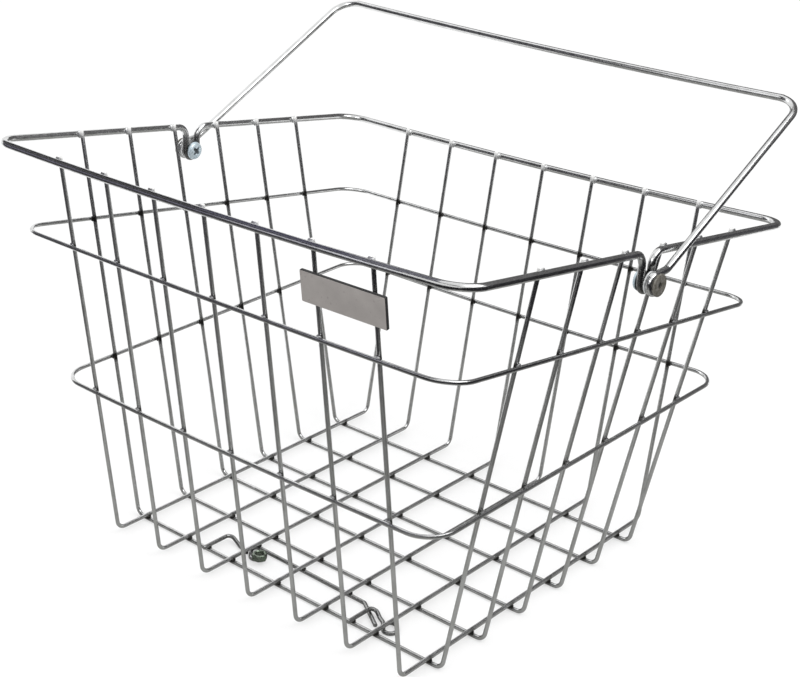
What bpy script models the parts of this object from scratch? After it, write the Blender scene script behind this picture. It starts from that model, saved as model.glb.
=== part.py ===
"""Wire bicycle basket with a wire carrying handle that swings over the rim.

Two layers of bent wires make the bottom and the walls, two rings and a heavy rim
tie them together, and the handle turns on a screw at the middle of each short side.
The origin is at the middle of the bottom, on the surface that the basket stands on.
X runs along the long side, and the name plate is on the side towards -Y.
"""

import math

import bmesh
import bpy
from mathutils import Matrix, Vector

# Wires
WIRE = 0.0030
HEAVY_WIRE = 0.0050
GAP = 0.0003

# Grid of wires, counted across the basket
PITCH = 0.0456
DEPTH_WIRES = 7
WIDTH_WIRES = 6
SIDE_MARGIN = 0.0110
END_MARGIN = 0.0297
BEND_RADIUS = 0.0070
TIP = 0.0035

# Walls, measured from the middle of the two bottom layers
RIM_HEIGHT = 0.2701
SIDE_FLARE = 0.0522
END_FLARE = 0.0415
RIM_SLOPE = 0.1398
RIM_LIFT = 0.0029
RIM_CORNER = 0.0190

# Rings round the walls
UPPER_HEIGHT = 0.2100
UPPER_SLOPE = 0.1382
UPPER_LIFT = 0.0016
LOWER_HEIGHT = 0.1220
LOWER_SLOPE = -0.0090
LOWER_LIFT = 0.0026
RING_CORNER = 0.0210

# Handle pivot, in a dip of the rim on each short side
SCREW_DIAMETER = 0.0036
BARREL_DIAMETER = 0.0058
BARREL_PLAY = 0.0004
PIVOT_DROP = 0.0188
PIVOT_FORWARD = 0.0011
SHOULDER_RADIUS = 0.0090
HEAD_DIAMETER = 0.0140
HEAD_HEIGHT = 0.0035
HEAD_CROWN = 0.0016
RECESS_LENGTH = 0.0052
RECESS_WIDTH = 0.0012
RECESS_DEPTH = 0.0018
SCREW_INSET = 0.0006
SCREW_CHAMFER = 0.0004
WASHER_DIAMETER = 0.0150
WASHER_THICKNESS = 0.0010
WASHER_EDGE = 0.0002
NUT_DIAMETER = 0.0150
NUT_THICKNESS = 0.0015
NUT_EDGE = 0.0004

# Handle, as it leans back in the photograph
HANDLE_REACH = 0.2037
HANDLE_LEAN = math.radians(25.5)
HANDLE_TWIST = math.radians(1.9)
HANDLE_TAPER = 0.0048
HANDLE_SAG = 0.0028
HANDLE_CORNER = 0.0180
EYE_STEM = 0.0150
EYE_END = math.radians(255.0)
EYE_KINK = 0.0100

# Name plate, held by the two right-hand front wires. Its drop is counted from halfway
# between the rim and the upper ring, so a negative drop is a rise.
PLATE_LENGTH = 0.0655
PLATE_HEIGHT = 0.0211
PLATE_THICKNESS = 0.0025
PLATE_DROP = -0.00275
PLATE_SHIFT = 0.0010
PLATE_CORNER = 0.0008

# Bracket wires in the lower layer of the bottom
LEG_SPREAD = 0.0705
LEG_TAIL = 0.0055
LEG_LENGTH = 0.0230
LEG_KNEE = 0.6
CROSS_SETBACK = 0.0277
CROSS_SKEW = 0.0028
CROSS_LEFT = 0.0525
CROSS_RIGHT = 0.0600
SPUR_ANGLE = math.radians(-34.5)
SPUR_LENGTH = 0.0290
EYE_WIDTH = 0.0064
EYE_ANGLE = math.radians(-50.0)
LEFT_EYE_LENGTH = 0.0220
LEFT_LEG_SEAT = 0.0125
RIGHT_EYE_X = 0.0930
RIGHT_EYE_SETBACK = 0.0130
RIGHT_EYE_LENGTH = 0.0134
EYE_OPENING = 0.0026
MOUNT_BEND = 0.0040
MOUNT_NUT_WIDTH = 0.0100
MOUNT_NUT_HEIGHT = 0.0050
MOUNT_NUT_CHAMFER = 0.0006
MOUNT_NUT_REACH = 0.0020
MOUNT_NUT_SHIFT = 0.0025

# Fineness of the bends and round pieces
ARC_STEP = math.radians(15.0)
ROUND_STEPS = 32
DOME_STEPS = 6
SAG_STEPS = 9
SETTLE_STEPS = 4
THIN_SIDES = 2
HEAVY_SIDES = 3
SHARP_ANGLE = math.radians(35.0)
SAME_POINT = 0.00001

# Values that follow from the sizes above
LOW_LAYER = WIRE / 2
HIGH_LAYER = LOW_LAYER + WIRE + GAP
MESH_MIDDLE = (LOW_LAYER + HIGH_LAYER) / 2
LAST_X = (DEPTH_WIRES - 1) / 2 * PITCH
LAST_Y = (WIDTH_WIRES - 1) / 2 * PITCH
FOOT_X = LAST_X + SIDE_MARGIN
FOOT_Y = LAST_Y + END_MARGIN
TOP_X = FOOT_X + SIDE_FLARE
TOP_Y = FOOT_Y + END_FLARE
SIDE_LEAN = math.atan(SIDE_FLARE / RIM_HEIGHT)
END_LEAN = math.atan(END_FLARE / RIM_HEIGHT)
SEAT = (BARREL_DIAMETER + HEAVY_WIRE) / 2 + BARREL_PLAY
RIM_X = TOP_X + ((WIRE + HEAVY_WIRE) / 2 + GAP) / math.cos(SIDE_LEAN)
PIVOT_Y = -PIVOT_FORWARD
HEAD_X = RIM_X - HEAVY_WIRE / 2 - GAP
WASHER_X = RIM_X + HEAVY_WIRE / 2 + GAP
HANDLE_X = WASHER_X + WASHER_THICKNESS + GAP + HEAVY_WIRE / 2
NUT_X = HANDLE_X + HEAVY_WIRE / 2 + GAP


def clear_scene():
    """Remove every object, so that the script can be run again."""
    for old in list(bpy.data.objects):
        bpy.data.objects.remove(old, do_unlink=True)


def new_collection(name):
    """Make a collection in the scene."""
    collection = bpy.data.collections.new(name)
    bpy.context.scene.collection.children.link(collection)
    return collection


def make_material(name, color, metallic, roughness):
    """Make a Principled material with the given colour and finish."""
    material = bpy.data.materials.new(name)
    material.use_nodes = True
    shader = material.node_tree.nodes["Principled BSDF"]
    shader.inputs["Base Color"].default_value = (*color, 1.0)
    shader.inputs["Metallic"].default_value = metallic
    shader.inputs["Roughness"].default_value = roughness
    return material


def level(height, slope, lift, x, y):
    """Height of a ring above the floor: it slopes along Y and lifts towards the short sides."""
    return MESH_MIDDLE + height - slope * y + lift * (x / TOP_X) ** 2


def rim_level(x, y):
    """Height of the rim's centre-line."""
    return level(RIM_HEIGHT, RIM_SLOPE, RIM_LIFT, x, y)


def wall_x(y, z):
    """Half width between the end walls' wire centres, at depth y and height z."""
    return FOOT_X + SIDE_FLARE * (z - MESH_MIDDLE) / (rim_level(TOP_X, y) - MESH_MIDDLE)


def wall_y(x, z, side):
    """Depth of the front (side -1) or back (side +1) wall's wire centres at width x and height z."""
    top = rim_level(x, side * TOP_Y)
    return side * (FOOT_Y + END_FLARE * (z - MESH_MIDDLE) / (top - MESH_MIDDLE))


def fillet(points, radii, closed=False):
    """Follow straight lines between points, with an arc of the given radius at each corner."""
    path = []
    count = len(points)
    for index, (corner, radius) in enumerate(zip(points, radii)):
        at_end = not closed and index in (0, count - 1)
        if at_end or radius == 0.0:
            path.append(corner.copy())
            continue
        back = (points[index - 1] - corner).normalized()
        ahead = (points[(index + 1) % count] - corner).normalized()
        inside = back.angle(ahead)
        turn = math.pi - inside
        centre = corner + (back + ahead).normalized() * radius / math.sin(inside / 2)
        first = corner + back * radius / math.tan(inside / 2) - centre
        normal = ahead.cross(back).normalized()
        steps = max(2, math.ceil(turn / ARC_STEP))
        for step in range(steps + 1):
            spin = Matrix.Rotation(turn * step / steps, 3, normal)
            path.append(centre + spin @ first)
    cleaned = [path[0]]
    for point in path[1:]:
        if (point - cleaned[-1]).length > SAME_POINT:
            cleaned.append(point)
    return cleaned


def tube(name, path, diameter, material, collection, origin=None, closed=False):
    """Make a round wire along a path, with its object's origin at the given place."""
    start = Vector(origin) if origin is not None else path[0].copy()
    curve = bpy.data.curves.new(name, "CURVE")
    curve.dimensions = "3D"
    curve.bevel_depth = diameter / 2
    curve.bevel_resolution = THIN_SIDES if diameter < HEAVY_WIRE else HEAVY_SIDES
    curve.use_fill_caps = not closed
    spline = curve.splines.new("POLY")
    spline.points.add(len(path) - 1)
    for target, point in zip(spline.points, path):
        target.co = (*(point - start), 1.0)
    spline.use_cyclic_u = closed
    curve.materials.append(material)
    wire = bpy.data.objects.new(name, curve)
    wire.location = start
    collection.objects.link(wire)
    return wire


def body_wire(corners):
    """Bend one body wire: up, across the bottom and up again, with its tips past the rim."""
    left_top, left_foot, right_foot, right_top = corners
    left_tip = left_top + (left_top - left_foot).normalized() * TIP
    right_tip = right_top + (right_top - right_foot).normalized() * TIP
    points = [left_tip, left_foot, right_foot, right_tip]
    return fillet(points, [0.0, BEND_RADIUS, BEND_RADIUS, 0.0])


def make_depth_wires(material, collection):
    """Wires that run from front to back, in the upper layer of the bottom."""
    for index in range(DEPTH_WIRES):
        x = index * PITCH - LAST_X
        corners = []
        for side in (-1, 1):
            top = Vector((x, side * TOP_Y, rim_level(x, side * TOP_Y)))
            foot = Vector((x, wall_y(x, HIGH_LAYER, side), HIGH_LAYER))
            corners.append((top, foot))
        front, back = corners
        path = body_wire([front[0], front[1], back[1], back[0]])
        tube(f"depth_wire_{index + 1}", path, WIRE, material, collection, (x, 0.0, HIGH_LAYER))


def make_width_wires(material, collection):
    """Wires that run from side to side, in the lower layer, which the basket stands on."""
    for index in range(WIDTH_WIRES):
        y = index * PITCH - LAST_Y
        foot = wall_x(y, LOW_LAYER)
        top = rim_level(TOP_X, y)
        corners = [Vector((-TOP_X, y, top)), Vector((-foot, y, LOW_LAYER)),
                   Vector((foot, y, LOW_LAYER)), Vector((TOP_X, y, top))]
        path = body_wire(corners)
        tube(f"width_wire_{index + 1}", path, WIRE, material, collection, (0.0, y, LOW_LAYER))


def loop_points(height, slope, lift, diameter, corner, dips=False):
    """Corner points and radii of a loop that lies on the outside of every wall wire."""
    off = (WIRE + diameter) / 2 + GAP
    off_x = off / math.cos(SIDE_LEAN)
    off_y = off / math.cos(END_LEAN)

    def side_x(y):
        x = TOP_X
        for _ in range(SETTLE_STEPS):
            x = wall_x(y, level(height, slope, lift, x, y))
        return x + off_x

    def end_y(x, side):
        y = side * TOP_Y
        for _ in range(SETTLE_STEPS):
            y = wall_y(x, level(height, slope, lift, x, y), side)
        return y + side * off_y

    rows = [index * PITCH - LAST_Y for index in range(WIDTH_WIRES)]
    columns = [index * PITCH - LAST_X for index in range(DEPTH_WIRES)]
    flat = []
    for x_side, y_side in ((1, -1), (1, 1), (-1, 1), (-1, -1)):
        x, y = TOP_X, y_side * TOP_Y
        for _ in range(SETTLE_STEPS):
            x, y = side_x(y), end_y(x, y_side)
        flat.append((x_side * x, y, corner))
        if x_side * y_side < 0:
            along = rows if x_side > 0 else rows[::-1]
            half = len(along) // 2
            run = [(x_side * side_x(y), y, 0.0) for y in along]
            flat += run[:half]
            flat += [None] * dips
            flat += run[half:]
        else:
            along = columns[::-1] if y_side > 0 else columns
            flat += [(x, end_y(x, y_side), 0.0) for x in along]
    points, radii = [], []
    for place in flat:
        if place is None:
            side = 1 if points[-1].x > 0 else -1
            dip, dip_radii = rim_dip(side)
            points += dip
            radii += dip_radii
            continue
        x, y, radius = place
        points.append(Vector((x, y, level(height, slope, lift, x, y))))
        radii.append(radius)
    return points, radii


def pivot_point(x):
    """Point on the handle's axis."""
    return Vector((x, PIVOT_Y, rim_level(TOP_X, PIVOT_Y) - PIVOT_DROP))


def rim_dip(side):
    """Corner points of the rim's dip under a pivot screw, front to back on the right side."""
    pivot = pivot_point(side * RIM_X)
    points, radii = [], []
    for end in (-side, side):
        y = PIVOT_Y + end * SEAT
        shoulder = Vector((pivot.x, y, rim_level(RIM_X, y)))
        bottom = Vector((pivot.x, y, pivot.z - SEAT))
        pair = [shoulder, bottom] if end == -side else [bottom, shoulder]
        sizes = [SHOULDER_RADIUS, SEAT] if end == -side else [SEAT, SHOULDER_RADIUS]
        points += pair
        radii += sizes
    return points, radii


def make_loops(chrome, collection):
    """The two rings and the heavy rim, each bent from one wire and closed."""
    loops = (("upper_ring", UPPER_HEIGHT, UPPER_SLOPE, UPPER_LIFT, WIRE, RING_CORNER, False),
             ("lower_ring", LOWER_HEIGHT, LOWER_SLOPE, LOWER_LIFT, WIRE, RING_CORNER, False),
             ("rim", RIM_HEIGHT, RIM_SLOPE, RIM_LIFT, HEAVY_WIRE, RIM_CORNER, True))
    for name, height, slope, lift, diameter, corner, dips in loops:
        points, radii = loop_points(height, slope, lift, diameter, corner, dips)
        path = fillet(points, radii, closed=True)
        origin = (0.0, 0.0, MESH_MIDDLE + height)
        tube(name, path, diameter, chrome, collection, origin, closed=True)


def handle_eye(side):
    """Points of one eye from its stem to its cut end, and the grip corner above it."""
    pivot = pivot_point(side * HANDLE_X)
    lean = HANDLE_LEAN - side * HANDLE_TWIST
    along = Vector((0.0, math.cos(lean), math.sin(lean)))
    over = Vector((0.0, -math.sin(lean), math.cos(lean)))
    inward = Vector((-side * HANDLE_TAPER, 0.0, 0.0))
    corner = pivot + along * HANDLE_REACH + inward
    start = math.acos(SEAT / EYE_STEM)
    steps = math.ceil((EYE_END - start) / ARC_STEP)
    turns = [start + (EYE_END - start) * step / steps for step in range(steps + 1)]
    arc = [pivot + (along * math.cos(turn) + over * math.sin(turn)) * SEAT for turn in turns]
    return corner, pivot + along * EYE_STEM, arc


def make_handle(chrome, collection):
    """One heavy wire: an eye at each end, two arms and a grip that sags a little."""
    left_corner, left_stem, left_arc = handle_eye(-1)
    right_corner, right_stem, right_arc = handle_eye(1)
    points = left_arc[::-1] + [left_stem, left_corner]
    radii = [0.0] * len(left_arc) + [EYE_KINK, HANDLE_CORNER]
    for index in range(1, SAG_STEPS):
        share = index / SAG_STEPS
        middle = left_corner.lerp(right_corner, share)
        middle.z -= HANDLE_SAG * 4 * share * (1 - share)
        points.append(middle)
        radii.append(0.0)
    points += [right_corner, right_stem] + right_arc
    radii += [HANDLE_CORNER, EYE_KINK] + [0.0] * len(right_arc)
    path = fillet(points, radii)
    tube("handle", path, HEAVY_WIRE, chrome, collection, pivot_point(0.0))


def turned(name, profile, material, collection, closed=False):
    """Turn a profile of (radius, height) points about Z. It runs down its outer side."""
    mesh = bpy.data.meshes.new(name)
    edges = [(index, index + 1) for index in range(len(profile) - 1)]
    if closed:
        edges.append((len(profile) - 1, 0))
    mesh.from_pydata([(radius, 0.0, height) for radius, height in profile], edges, [])
    mesh.materials.append(material)
    piece = bpy.data.objects.new(name, mesh)
    collection.objects.link(piece)
    screw = piece.modifiers.new("Turn", "SCREW")
    screw.steps = ROUND_STEPS
    screw.render_steps = ROUND_STEPS
    screw.use_merge_vertices = True
    screw.merge_threshold = SAME_POINT
    return piece


def hide_cutter(cutter):
    """Mark an object as a cutter, which is no part of the basket."""
    cutter.hide_render = True
    cutter.display_type = "WIRE"


def combine(piece, cutter, operation):
    """Add an exact Boolean to a piece."""
    boolean = piece.modifiers.new(operation.title(), "BOOLEAN")
    boolean.operation = operation
    boolean.solver = "EXACT"
    boolean.object = cutter


def settle(piece):
    """Turn a piece's modifiers into its mesh, smooth but for its sharp edges."""
    bpy.context.view_layer.update()
    graph = bpy.context.evaluated_depsgraph_get()
    mesh = bpy.data.meshes.new_from_object(piece.evaluated_get(graph), depsgraph=graph)
    piece.modifiers.clear()
    piece.data = mesh
    mesh.shade_smooth()
    mesh.set_sharp_from_angle(angle=SHARP_ANGLE)


def place_on_axis(piece, side, x):
    """Lay a turned piece along X, with its Z axis pointing out of the basket."""
    piece.location = pivot_point(side * x)
    piece.rotation_euler = (0.0, side * math.pi / 2, 0.0)


def make_screw(side, name, zinc, collection, cutters):
    """Pan head screw: the head is inside the basket and the end stops short of the nut's face."""
    head = HEAD_DIAMETER / 2
    shank = SCREW_DIAMETER / 2
    end = NUT_X + NUT_THICKNESS - SCREW_INSET - HEAD_X
    dome = []
    for step in range(DOME_STEPS + 1):
        turn = math.pi / 2 * (1 - step / DOME_STEPS)
        dome.append((head * math.sin(turn), HEAD_CROWN * (1 - math.cos(turn)) - HEAD_HEIGHT))
    profile = [(0.0, end), (shank - SCREW_CHAMFER, end), (shank, end - SCREW_CHAMFER),
               (shank, 0.0), (head, 0.0)]
    profile += dome
    screw = turned(name, profile, zinc, collection)
    place_on_axis(screw, side, HEAD_X)
    for index, turn in enumerate((math.pi / 4, -math.pi / 4)):
        mesh = bpy.data.meshes.new(f"{name}_recess_{index + 1}")
        box = bmesh.new()
        bmesh.ops.create_cube(box, size=1.0)
        bmesh.ops.scale(box, verts=box.verts, vec=(RECESS_LENGTH, RECESS_WIDTH, RECESS_DEPTH * 2))
        box.to_mesh(mesh)
        box.free()
        cutter = bpy.data.objects.new(mesh.name, mesh)
        cutters.objects.link(cutter)
        hide_cutter(cutter)
        cutter.parent = screw
        cutter.location = (0.0, 0.0, -HEAD_HEIGHT)
        cutter.rotation_euler = (0.0, 0.0, turn)
        combine(screw, cutter, "DIFFERENCE")
    settle(screw)


def make_washer(side, name, bright, collection):
    """Plain washer between the rim and the handle."""
    outer = WASHER_DIAMETER / 2
    bore = BARREL_DIAMETER / 2 + GAP
    edge = WASHER_EDGE
    top = WASHER_THICKNESS
    profile = [(bore, top), (outer - edge, top), (outer, top - edge),
               (outer, edge), (outer - edge, 0.0), (bore, 0.0)]
    washer = turned(name, profile, bright, collection, closed=True)
    place_on_axis(washer, side, WASHER_X)
    settle(washer)


def make_barrel_nut(side, name, dark, collection):
    """Barrel nut: a flat round head outside the handle's eye, and the barrel that the eye turns on."""
    head = NUT_DIAMETER / 2
    barrel = BARREL_DIAMETER / 2
    bore = SCREW_DIAMETER / 2 + GAP
    foot = HEAD_X + GAP - NUT_X
    profile = [(bore, NUT_THICKNESS), (head - NUT_EDGE, NUT_THICKNESS), (head, NUT_THICKNESS - NUT_EDGE),
               (head, 0.0), (barrel, 0.0), (barrel, foot), (bore, foot)]
    nut = turned(name, profile, dark, collection, closed=True)
    place_on_axis(nut, side, NUT_X)
    settle(nut)


def make_mount_nut(place, material, collection, cutters):
    """Hexagon nut: a prism kept inside a turned outline, which has the bore and the chamfers."""
    corner = MOUNT_NUT_WIDTH / math.sqrt(3.0)
    flat = MOUNT_NUT_WIDTH / 2
    bore = EYE_WIDTH / 2
    height = MOUNT_NUT_HEIGHT
    chamfer = MOUNT_NUT_CHAMFER
    profile = [(bore + chamfer, height), (flat - chamfer / 2, height), (corner + chamfer, height - chamfer),
               (corner + chamfer, chamfer / 2), (flat - chamfer / 2, 0.0), (bore + chamfer, 0.0),
               (bore, chamfer), (bore, height - chamfer)]
    mesh = bpy.data.meshes.new("mount_nut")
    prism = bmesh.new()
    bmesh.ops.create_cone(prism, cap_ends=True, segments=6, radius1=corner, radius2=corner,
                          depth=height * 2)
    bmesh.ops.rotate(prism, verts=prism.verts, matrix=Matrix.Rotation(math.pi / 6, 3, "Z"))
    prism.to_mesh(mesh)
    prism.free()
    mesh.materials.append(material)
    nut = bpy.data.objects.new("mount_nut", mesh)
    collection.objects.link(nut)
    outline = turned("mount_nut_outline", profile, material, cutters, closed=True)
    outline.parent = nut
    hide_cutter(outline)
    combine(nut, outline, "INTERSECT")
    settle(nut)
    nut.location = place


def make_pivots(zinc, bright, dark, collection, cutters):
    """Screw, washer and barrel nut on each short side."""
    for side, word in ((-1, "left"), (1, "right")):
        make_screw(side, f"pivot_screw_{word}", zinc, collection, cutters)
        make_washer(side, f"pivot_washer_{word}", bright, collection)
        make_barrel_nut(side, f"pivot_nut_{word}", dark, collection)


def make_plate(material, collection):
    """Bare name plate on the outside of the last two front wires, a little right of their middle."""
    x = LAST_X - PITCH / 2
    top = Vector((x, -TOP_Y, rim_level(x, -TOP_Y)))
    foot = Vector((x, wall_y(x, MESH_MIDDLE, -1), MESH_MIDDLE))
    up = (top - foot).normalized()
    right = Vector((1.0, 0.0, 0.0))
    outward = right.cross(up)
    ring = level(UPPER_HEIGHT, UPPER_SLOPE, UPPER_LIFT, x, -TOP_Y)
    space = (top.z - ring) / up.z
    centre = top - up * (space / 2 + PLATE_DROP)
    centre += outward * (WIRE / 2 + GAP + PLATE_THICKNESS / 2) + right * PLATE_SHIFT
    curve = bpy.data.curves.new("name_plate", "CURVE")
    curve.dimensions = "2D"
    curve.fill_mode = "BOTH"
    curve.extrude = PLATE_THICKNESS / 2
    half_x, half_y = PLATE_LENGTH / 2, PLATE_HEIGHT / 2
    corners = [Vector((sx * half_x, sy * half_y, 0.0)) for sx, sy in ((-1, -1), (1, -1), (1, 1), (-1, 1))]
    outline = fillet(corners, [PLATE_CORNER] * 4, closed=True)
    spline = curve.splines.new("POLY")
    spline.points.add(len(outline) - 1)
    for target, point in zip(spline.points, outline):
        target.co = (point.x, point.y, 0.0, 1.0)
    spline.use_cyclic_u = True
    curve.materials.append(material)
    plate = bpy.data.objects.new("name_plate", curve)
    collection.objects.link(plate)
    turn = Matrix((right, up, outward)).transposed()
    plate.matrix_world = Matrix.Translation(centre) @ turn.to_4x4()


def eye_frame():
    """Directions along a bracket eye and across it, seen from above."""
    along = Vector((math.cos(EYE_ANGLE), math.sin(EYE_ANGLE), 0.0))
    return along, Vector((-along.y, along.x, 0.0))


def cross_point(x):
    """Point on the cross wire, which lies a little askew under the depth wires."""
    share = (x + CROSS_LEFT) / (CROSS_LEFT + CROSS_RIGHT)
    return Vector((x, -LAST_Y + CROSS_SETBACK - CROSS_SKEW * share, LOW_LAYER))


def make_cross_wire(chrome, collection):
    """Cross wire: a straight spur at its right end and the left eye at its other end."""
    along, across = eye_frame()
    radius = (EYE_WIDTH + WIRE) / 2
    left = cross_point(-CROSS_LEFT)
    right = cross_point(CROSS_RIGHT)
    spur = Vector((math.cos(SPUR_ANGLE), math.sin(SPUR_ANGLE), 0.0))
    turn_out = left + along * LEFT_EYE_LENGTH
    turn_back = turn_out + across * 2 * radius
    space = WIRE / 2 * (1 + across.y) + GAP
    rise = cross_point(turn_back.x).y - space - turn_back.y
    end = turn_back + along * rise / along.y
    points = [right + spur * SPUR_LENGTH, right, left, turn_out, turn_back, end]
    radii = [0.0, MOUNT_BEND, MOUNT_BEND, radius, radius, 0.0]
    tube("mount_cross_wire", fillet(points, radii), WIRE, chrome, collection)
    return left, (turn_out + turn_back) / 2


def leg_start(side):
    """The straight end of a leg, which lies on the first width wire, and its bend."""
    tail = Vector((side * LEG_SPREAD, -LAST_Y - LEG_TAIL, HIGH_LAYER))
    bend = Vector((side * LEG_SPREAD, -LAST_Y + LEG_LENGTH, HIGH_LAYER))
    return tail, bend


def make_left_leg(left, chrome, collection):
    """Left leg: it steps down to the lower layer and ends against the left eye."""
    along, across = eye_frame()
    tail, bend = leg_start(-1)
    seat = left + along * LEFT_LEG_SEAT
    direction = (seat - bend).normalized()
    cut = WIRE / 2 * math.sin(direction.angle(across))
    end = seat - across * (WIRE / 2 + GAP + cut)
    knee = bend.lerp(end, LEG_KNEE)
    knee.z = LOW_LAYER
    path = fillet([tail, bend, knee, end], [0.0, MOUNT_BEND, MOUNT_BEND, 0.0])
    tube("mount_leg_left", path, WIRE, chrome, collection)


def make_right_leg(chrome, collection):
    """Right leg: it steps down to the lower layer and closes into the right eye."""
    along, across = eye_frame()
    radius = (EYE_WIDTH + WIRE) / 2
    half = along * RIGHT_EYE_LENGTH / 2
    centre = Vector((RIGHT_EYE_X, -LAST_Y + RIGHT_EYE_SETBACK, LOW_LAYER))
    near = centre - across * radius
    far = centre + across * radius
    tail, bend = leg_start(1)
    knee = bend.lerp(near - half, LEG_KNEE)
    knee.z = LOW_LAYER
    end = near - half + across * EYE_OPENING
    points = [tail, bend, knee, near - half, near + half, far + half, far - half, end]
    radii = [0.0, MOUNT_BEND, MOUNT_BEND, MOUNT_BEND, radius, radius, radius, 0.0]
    tube("mount_leg_right", fillet(points, radii), WIRE, chrome, collection)


def make_bracket(chrome, dark, collection, cutters):
    """Wires that hold the basket to its bracket, with a nut on the end of the left eye."""
    along, across = eye_frame()
    left, eye_end = make_cross_wire(chrome, collection)
    make_left_leg(left, chrome, collection)
    make_right_leg(chrome, collection)
    place = eye_end + along * MOUNT_NUT_REACH + across * MOUNT_NUT_SHIFT
    place.z = LOW_LAYER + WIRE / 2 + GAP
    make_mount_nut(place, dark, collection, cutters)


def main():
    clear_scene()
    parts = new_collection("bicycle_basket")
    cutters = new_collection("cutters")
    chrome = make_material("chrome_wire", (0.56, 0.57, 0.58), 1.0, 0.16)
    zinc = make_material("blue_zinc", (0.60, 0.66, 0.70), 1.0, 0.25)
    bright = make_material("bright_washer", (0.80, 0.81, 0.82), 1.0, 0.18)
    dark = make_material("dark_zinc", (0.33, 0.32, 0.29), 1.0, 0.38)
    grey = make_material("grey_plate", (0.50, 0.48, 0.47), 0.6, 0.45)
    make_depth_wires(chrome, parts)
    make_width_wires(chrome, parts)
    make_loops(chrome, parts)
    make_handle(chrome, parts)
    make_pivots(zinc, bright, dark, parts, cutters)
    make_plate(grey, parts)
    make_bracket(chrome, dark, parts, cutters)


if __name__ == "__main__":
    main()
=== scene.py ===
"""Looks of the wire bicycle basket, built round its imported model.

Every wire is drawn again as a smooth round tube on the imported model's own centre-lines, the welds
fill the small gaps between crossing wires, and the pivots' hardware and the name plate get their
finer shapes. Lengths are in metres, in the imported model's frame.
"""

import math
from functools import partial

import bpy
import numpy as np
from bpy.props import FloatProperty, FloatVectorProperty, IntProperty, PointerProperty
from bpy.types import NodeSocket, Operator, Panel, PropertyGroup
from mathutils import Matrix


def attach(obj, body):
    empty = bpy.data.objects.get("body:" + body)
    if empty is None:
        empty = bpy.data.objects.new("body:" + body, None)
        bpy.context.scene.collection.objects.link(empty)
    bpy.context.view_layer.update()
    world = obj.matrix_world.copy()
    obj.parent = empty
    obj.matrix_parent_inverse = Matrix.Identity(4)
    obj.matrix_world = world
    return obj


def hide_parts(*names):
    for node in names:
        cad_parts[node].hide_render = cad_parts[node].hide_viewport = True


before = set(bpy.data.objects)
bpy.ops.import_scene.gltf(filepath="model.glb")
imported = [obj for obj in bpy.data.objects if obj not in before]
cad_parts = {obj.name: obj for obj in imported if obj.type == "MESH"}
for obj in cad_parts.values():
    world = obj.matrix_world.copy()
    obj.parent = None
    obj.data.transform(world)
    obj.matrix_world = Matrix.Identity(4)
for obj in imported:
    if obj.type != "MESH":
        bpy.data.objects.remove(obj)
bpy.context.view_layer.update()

bl_info = {
    "name": "Wire bicycle basket",
    "version": (1, 0, 0),
    "blender": (4, 5, 0),
    "location": "View3D > Sidebar > Basket",
    "description": "Smooth wires, welds, pivot hardware and finishes for the packed wire basket",
    "category": "Object",
}

# Wires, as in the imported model
WIRE = 0.0030
HEAVY_WIRE = 0.0050
GAP = 0.0003

# Grid of wires
PITCH = 0.0456
DEPTH_WIRES = 7
WIDTH_WIRES = 6
SIDE_MARGIN = 0.0110
END_MARGIN = 0.0297
BEND_RADIUS = 0.0070
TIP = 0.0035

# Walls and the rim
RIM_HEIGHT = 0.2701
SIDE_FLARE = 0.0522
END_FLARE = 0.0415
RIM_SLOPE = 0.1398
RIM_LIFT = 0.0029
RIM_CORNER = 0.0190

# Rings
UPPER_HEIGHT = 0.2100
UPPER_SLOPE = 0.1382
UPPER_LIFT = 0.0016
LOWER_HEIGHT = 0.1220
LOWER_SLOPE = -0.0090
LOWER_LIFT = 0.0026
RING_CORNER = 0.0210

# Pivots
BARREL_DIAMETER = 0.0058
BARREL_PLAY = 0.0004
SCREW_DIAMETER = 0.0036
PIVOT_DROP = 0.0188
PIVOT_FORWARD = 0.0011
SHOULDER_RADIUS = 0.0090
HEAD_DIAMETER = 0.0140
HEAD_HEIGHT = 0.0035
SCREW_INSET = 0.0006
WASHER_DIAMETER = 0.0150
WASHER_THICKNESS = 0.0010
WASHER_EDGE = 0.0003
NUT_DIAMETER = 0.0150
NUT_THICKNESS = 0.0015
NUT_EDGE = 0.0006
FINE_EDGE = 0.0001

# The pivot screws' finer shapes
HEAD_SIDE = 0.0008
HEAD_FOOT = 0.0003
THREAD_PITCH = 0.0007
THREAD_WAVE = 0.0001
THREAD_START = 0.0030
THREAD_RUNOUT = 0.0010
RECESS_FLARE = 0.0009
RECESS_WALL = 0.0004
RECESS_END = 0.0003
RECESS_FLOOR = 0.35
# Painted shade in the cross recess and under the screw head
RECESS_SHADE = 0.85
RECESS_DARK = 1.8
UNDER_HEAD_SHADE = 0.9
RING_CROWD = 0.9
NECK_SHARE = 0.56
POINT_SHARE = 0.36

# Handle
HANDLE_REACH = 0.2037
HANDLE_LEAN = math.radians(25.5)
HANDLE_TWIST = math.radians(1.9)
HANDLE_TAPER = 0.0048
HANDLE_SAG = 0.0028
HANDLE_CORNER = 0.0180
EYE_STEM = 0.0150
EYE_END = math.radians(255.0)
EYE_KINK = 0.0100

# Name plate
PLATE_LENGTH = 0.0655
PLATE_HEIGHT = 0.0211
PLATE_THICKNESS = 0.0025
PLATE_DROP = -0.00275
PLATE_SHIFT = 0.0010
PLATE_CORNER = 0.0008
SHEET_THICKNESS = 0.0004
SHEET_MARGIN = 0.0006
SHEET_EDGE = 0.0001
PLATE_WELD_RISE = 0.3
PLATE_WELD = (0.0012, 0.0006)

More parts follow.
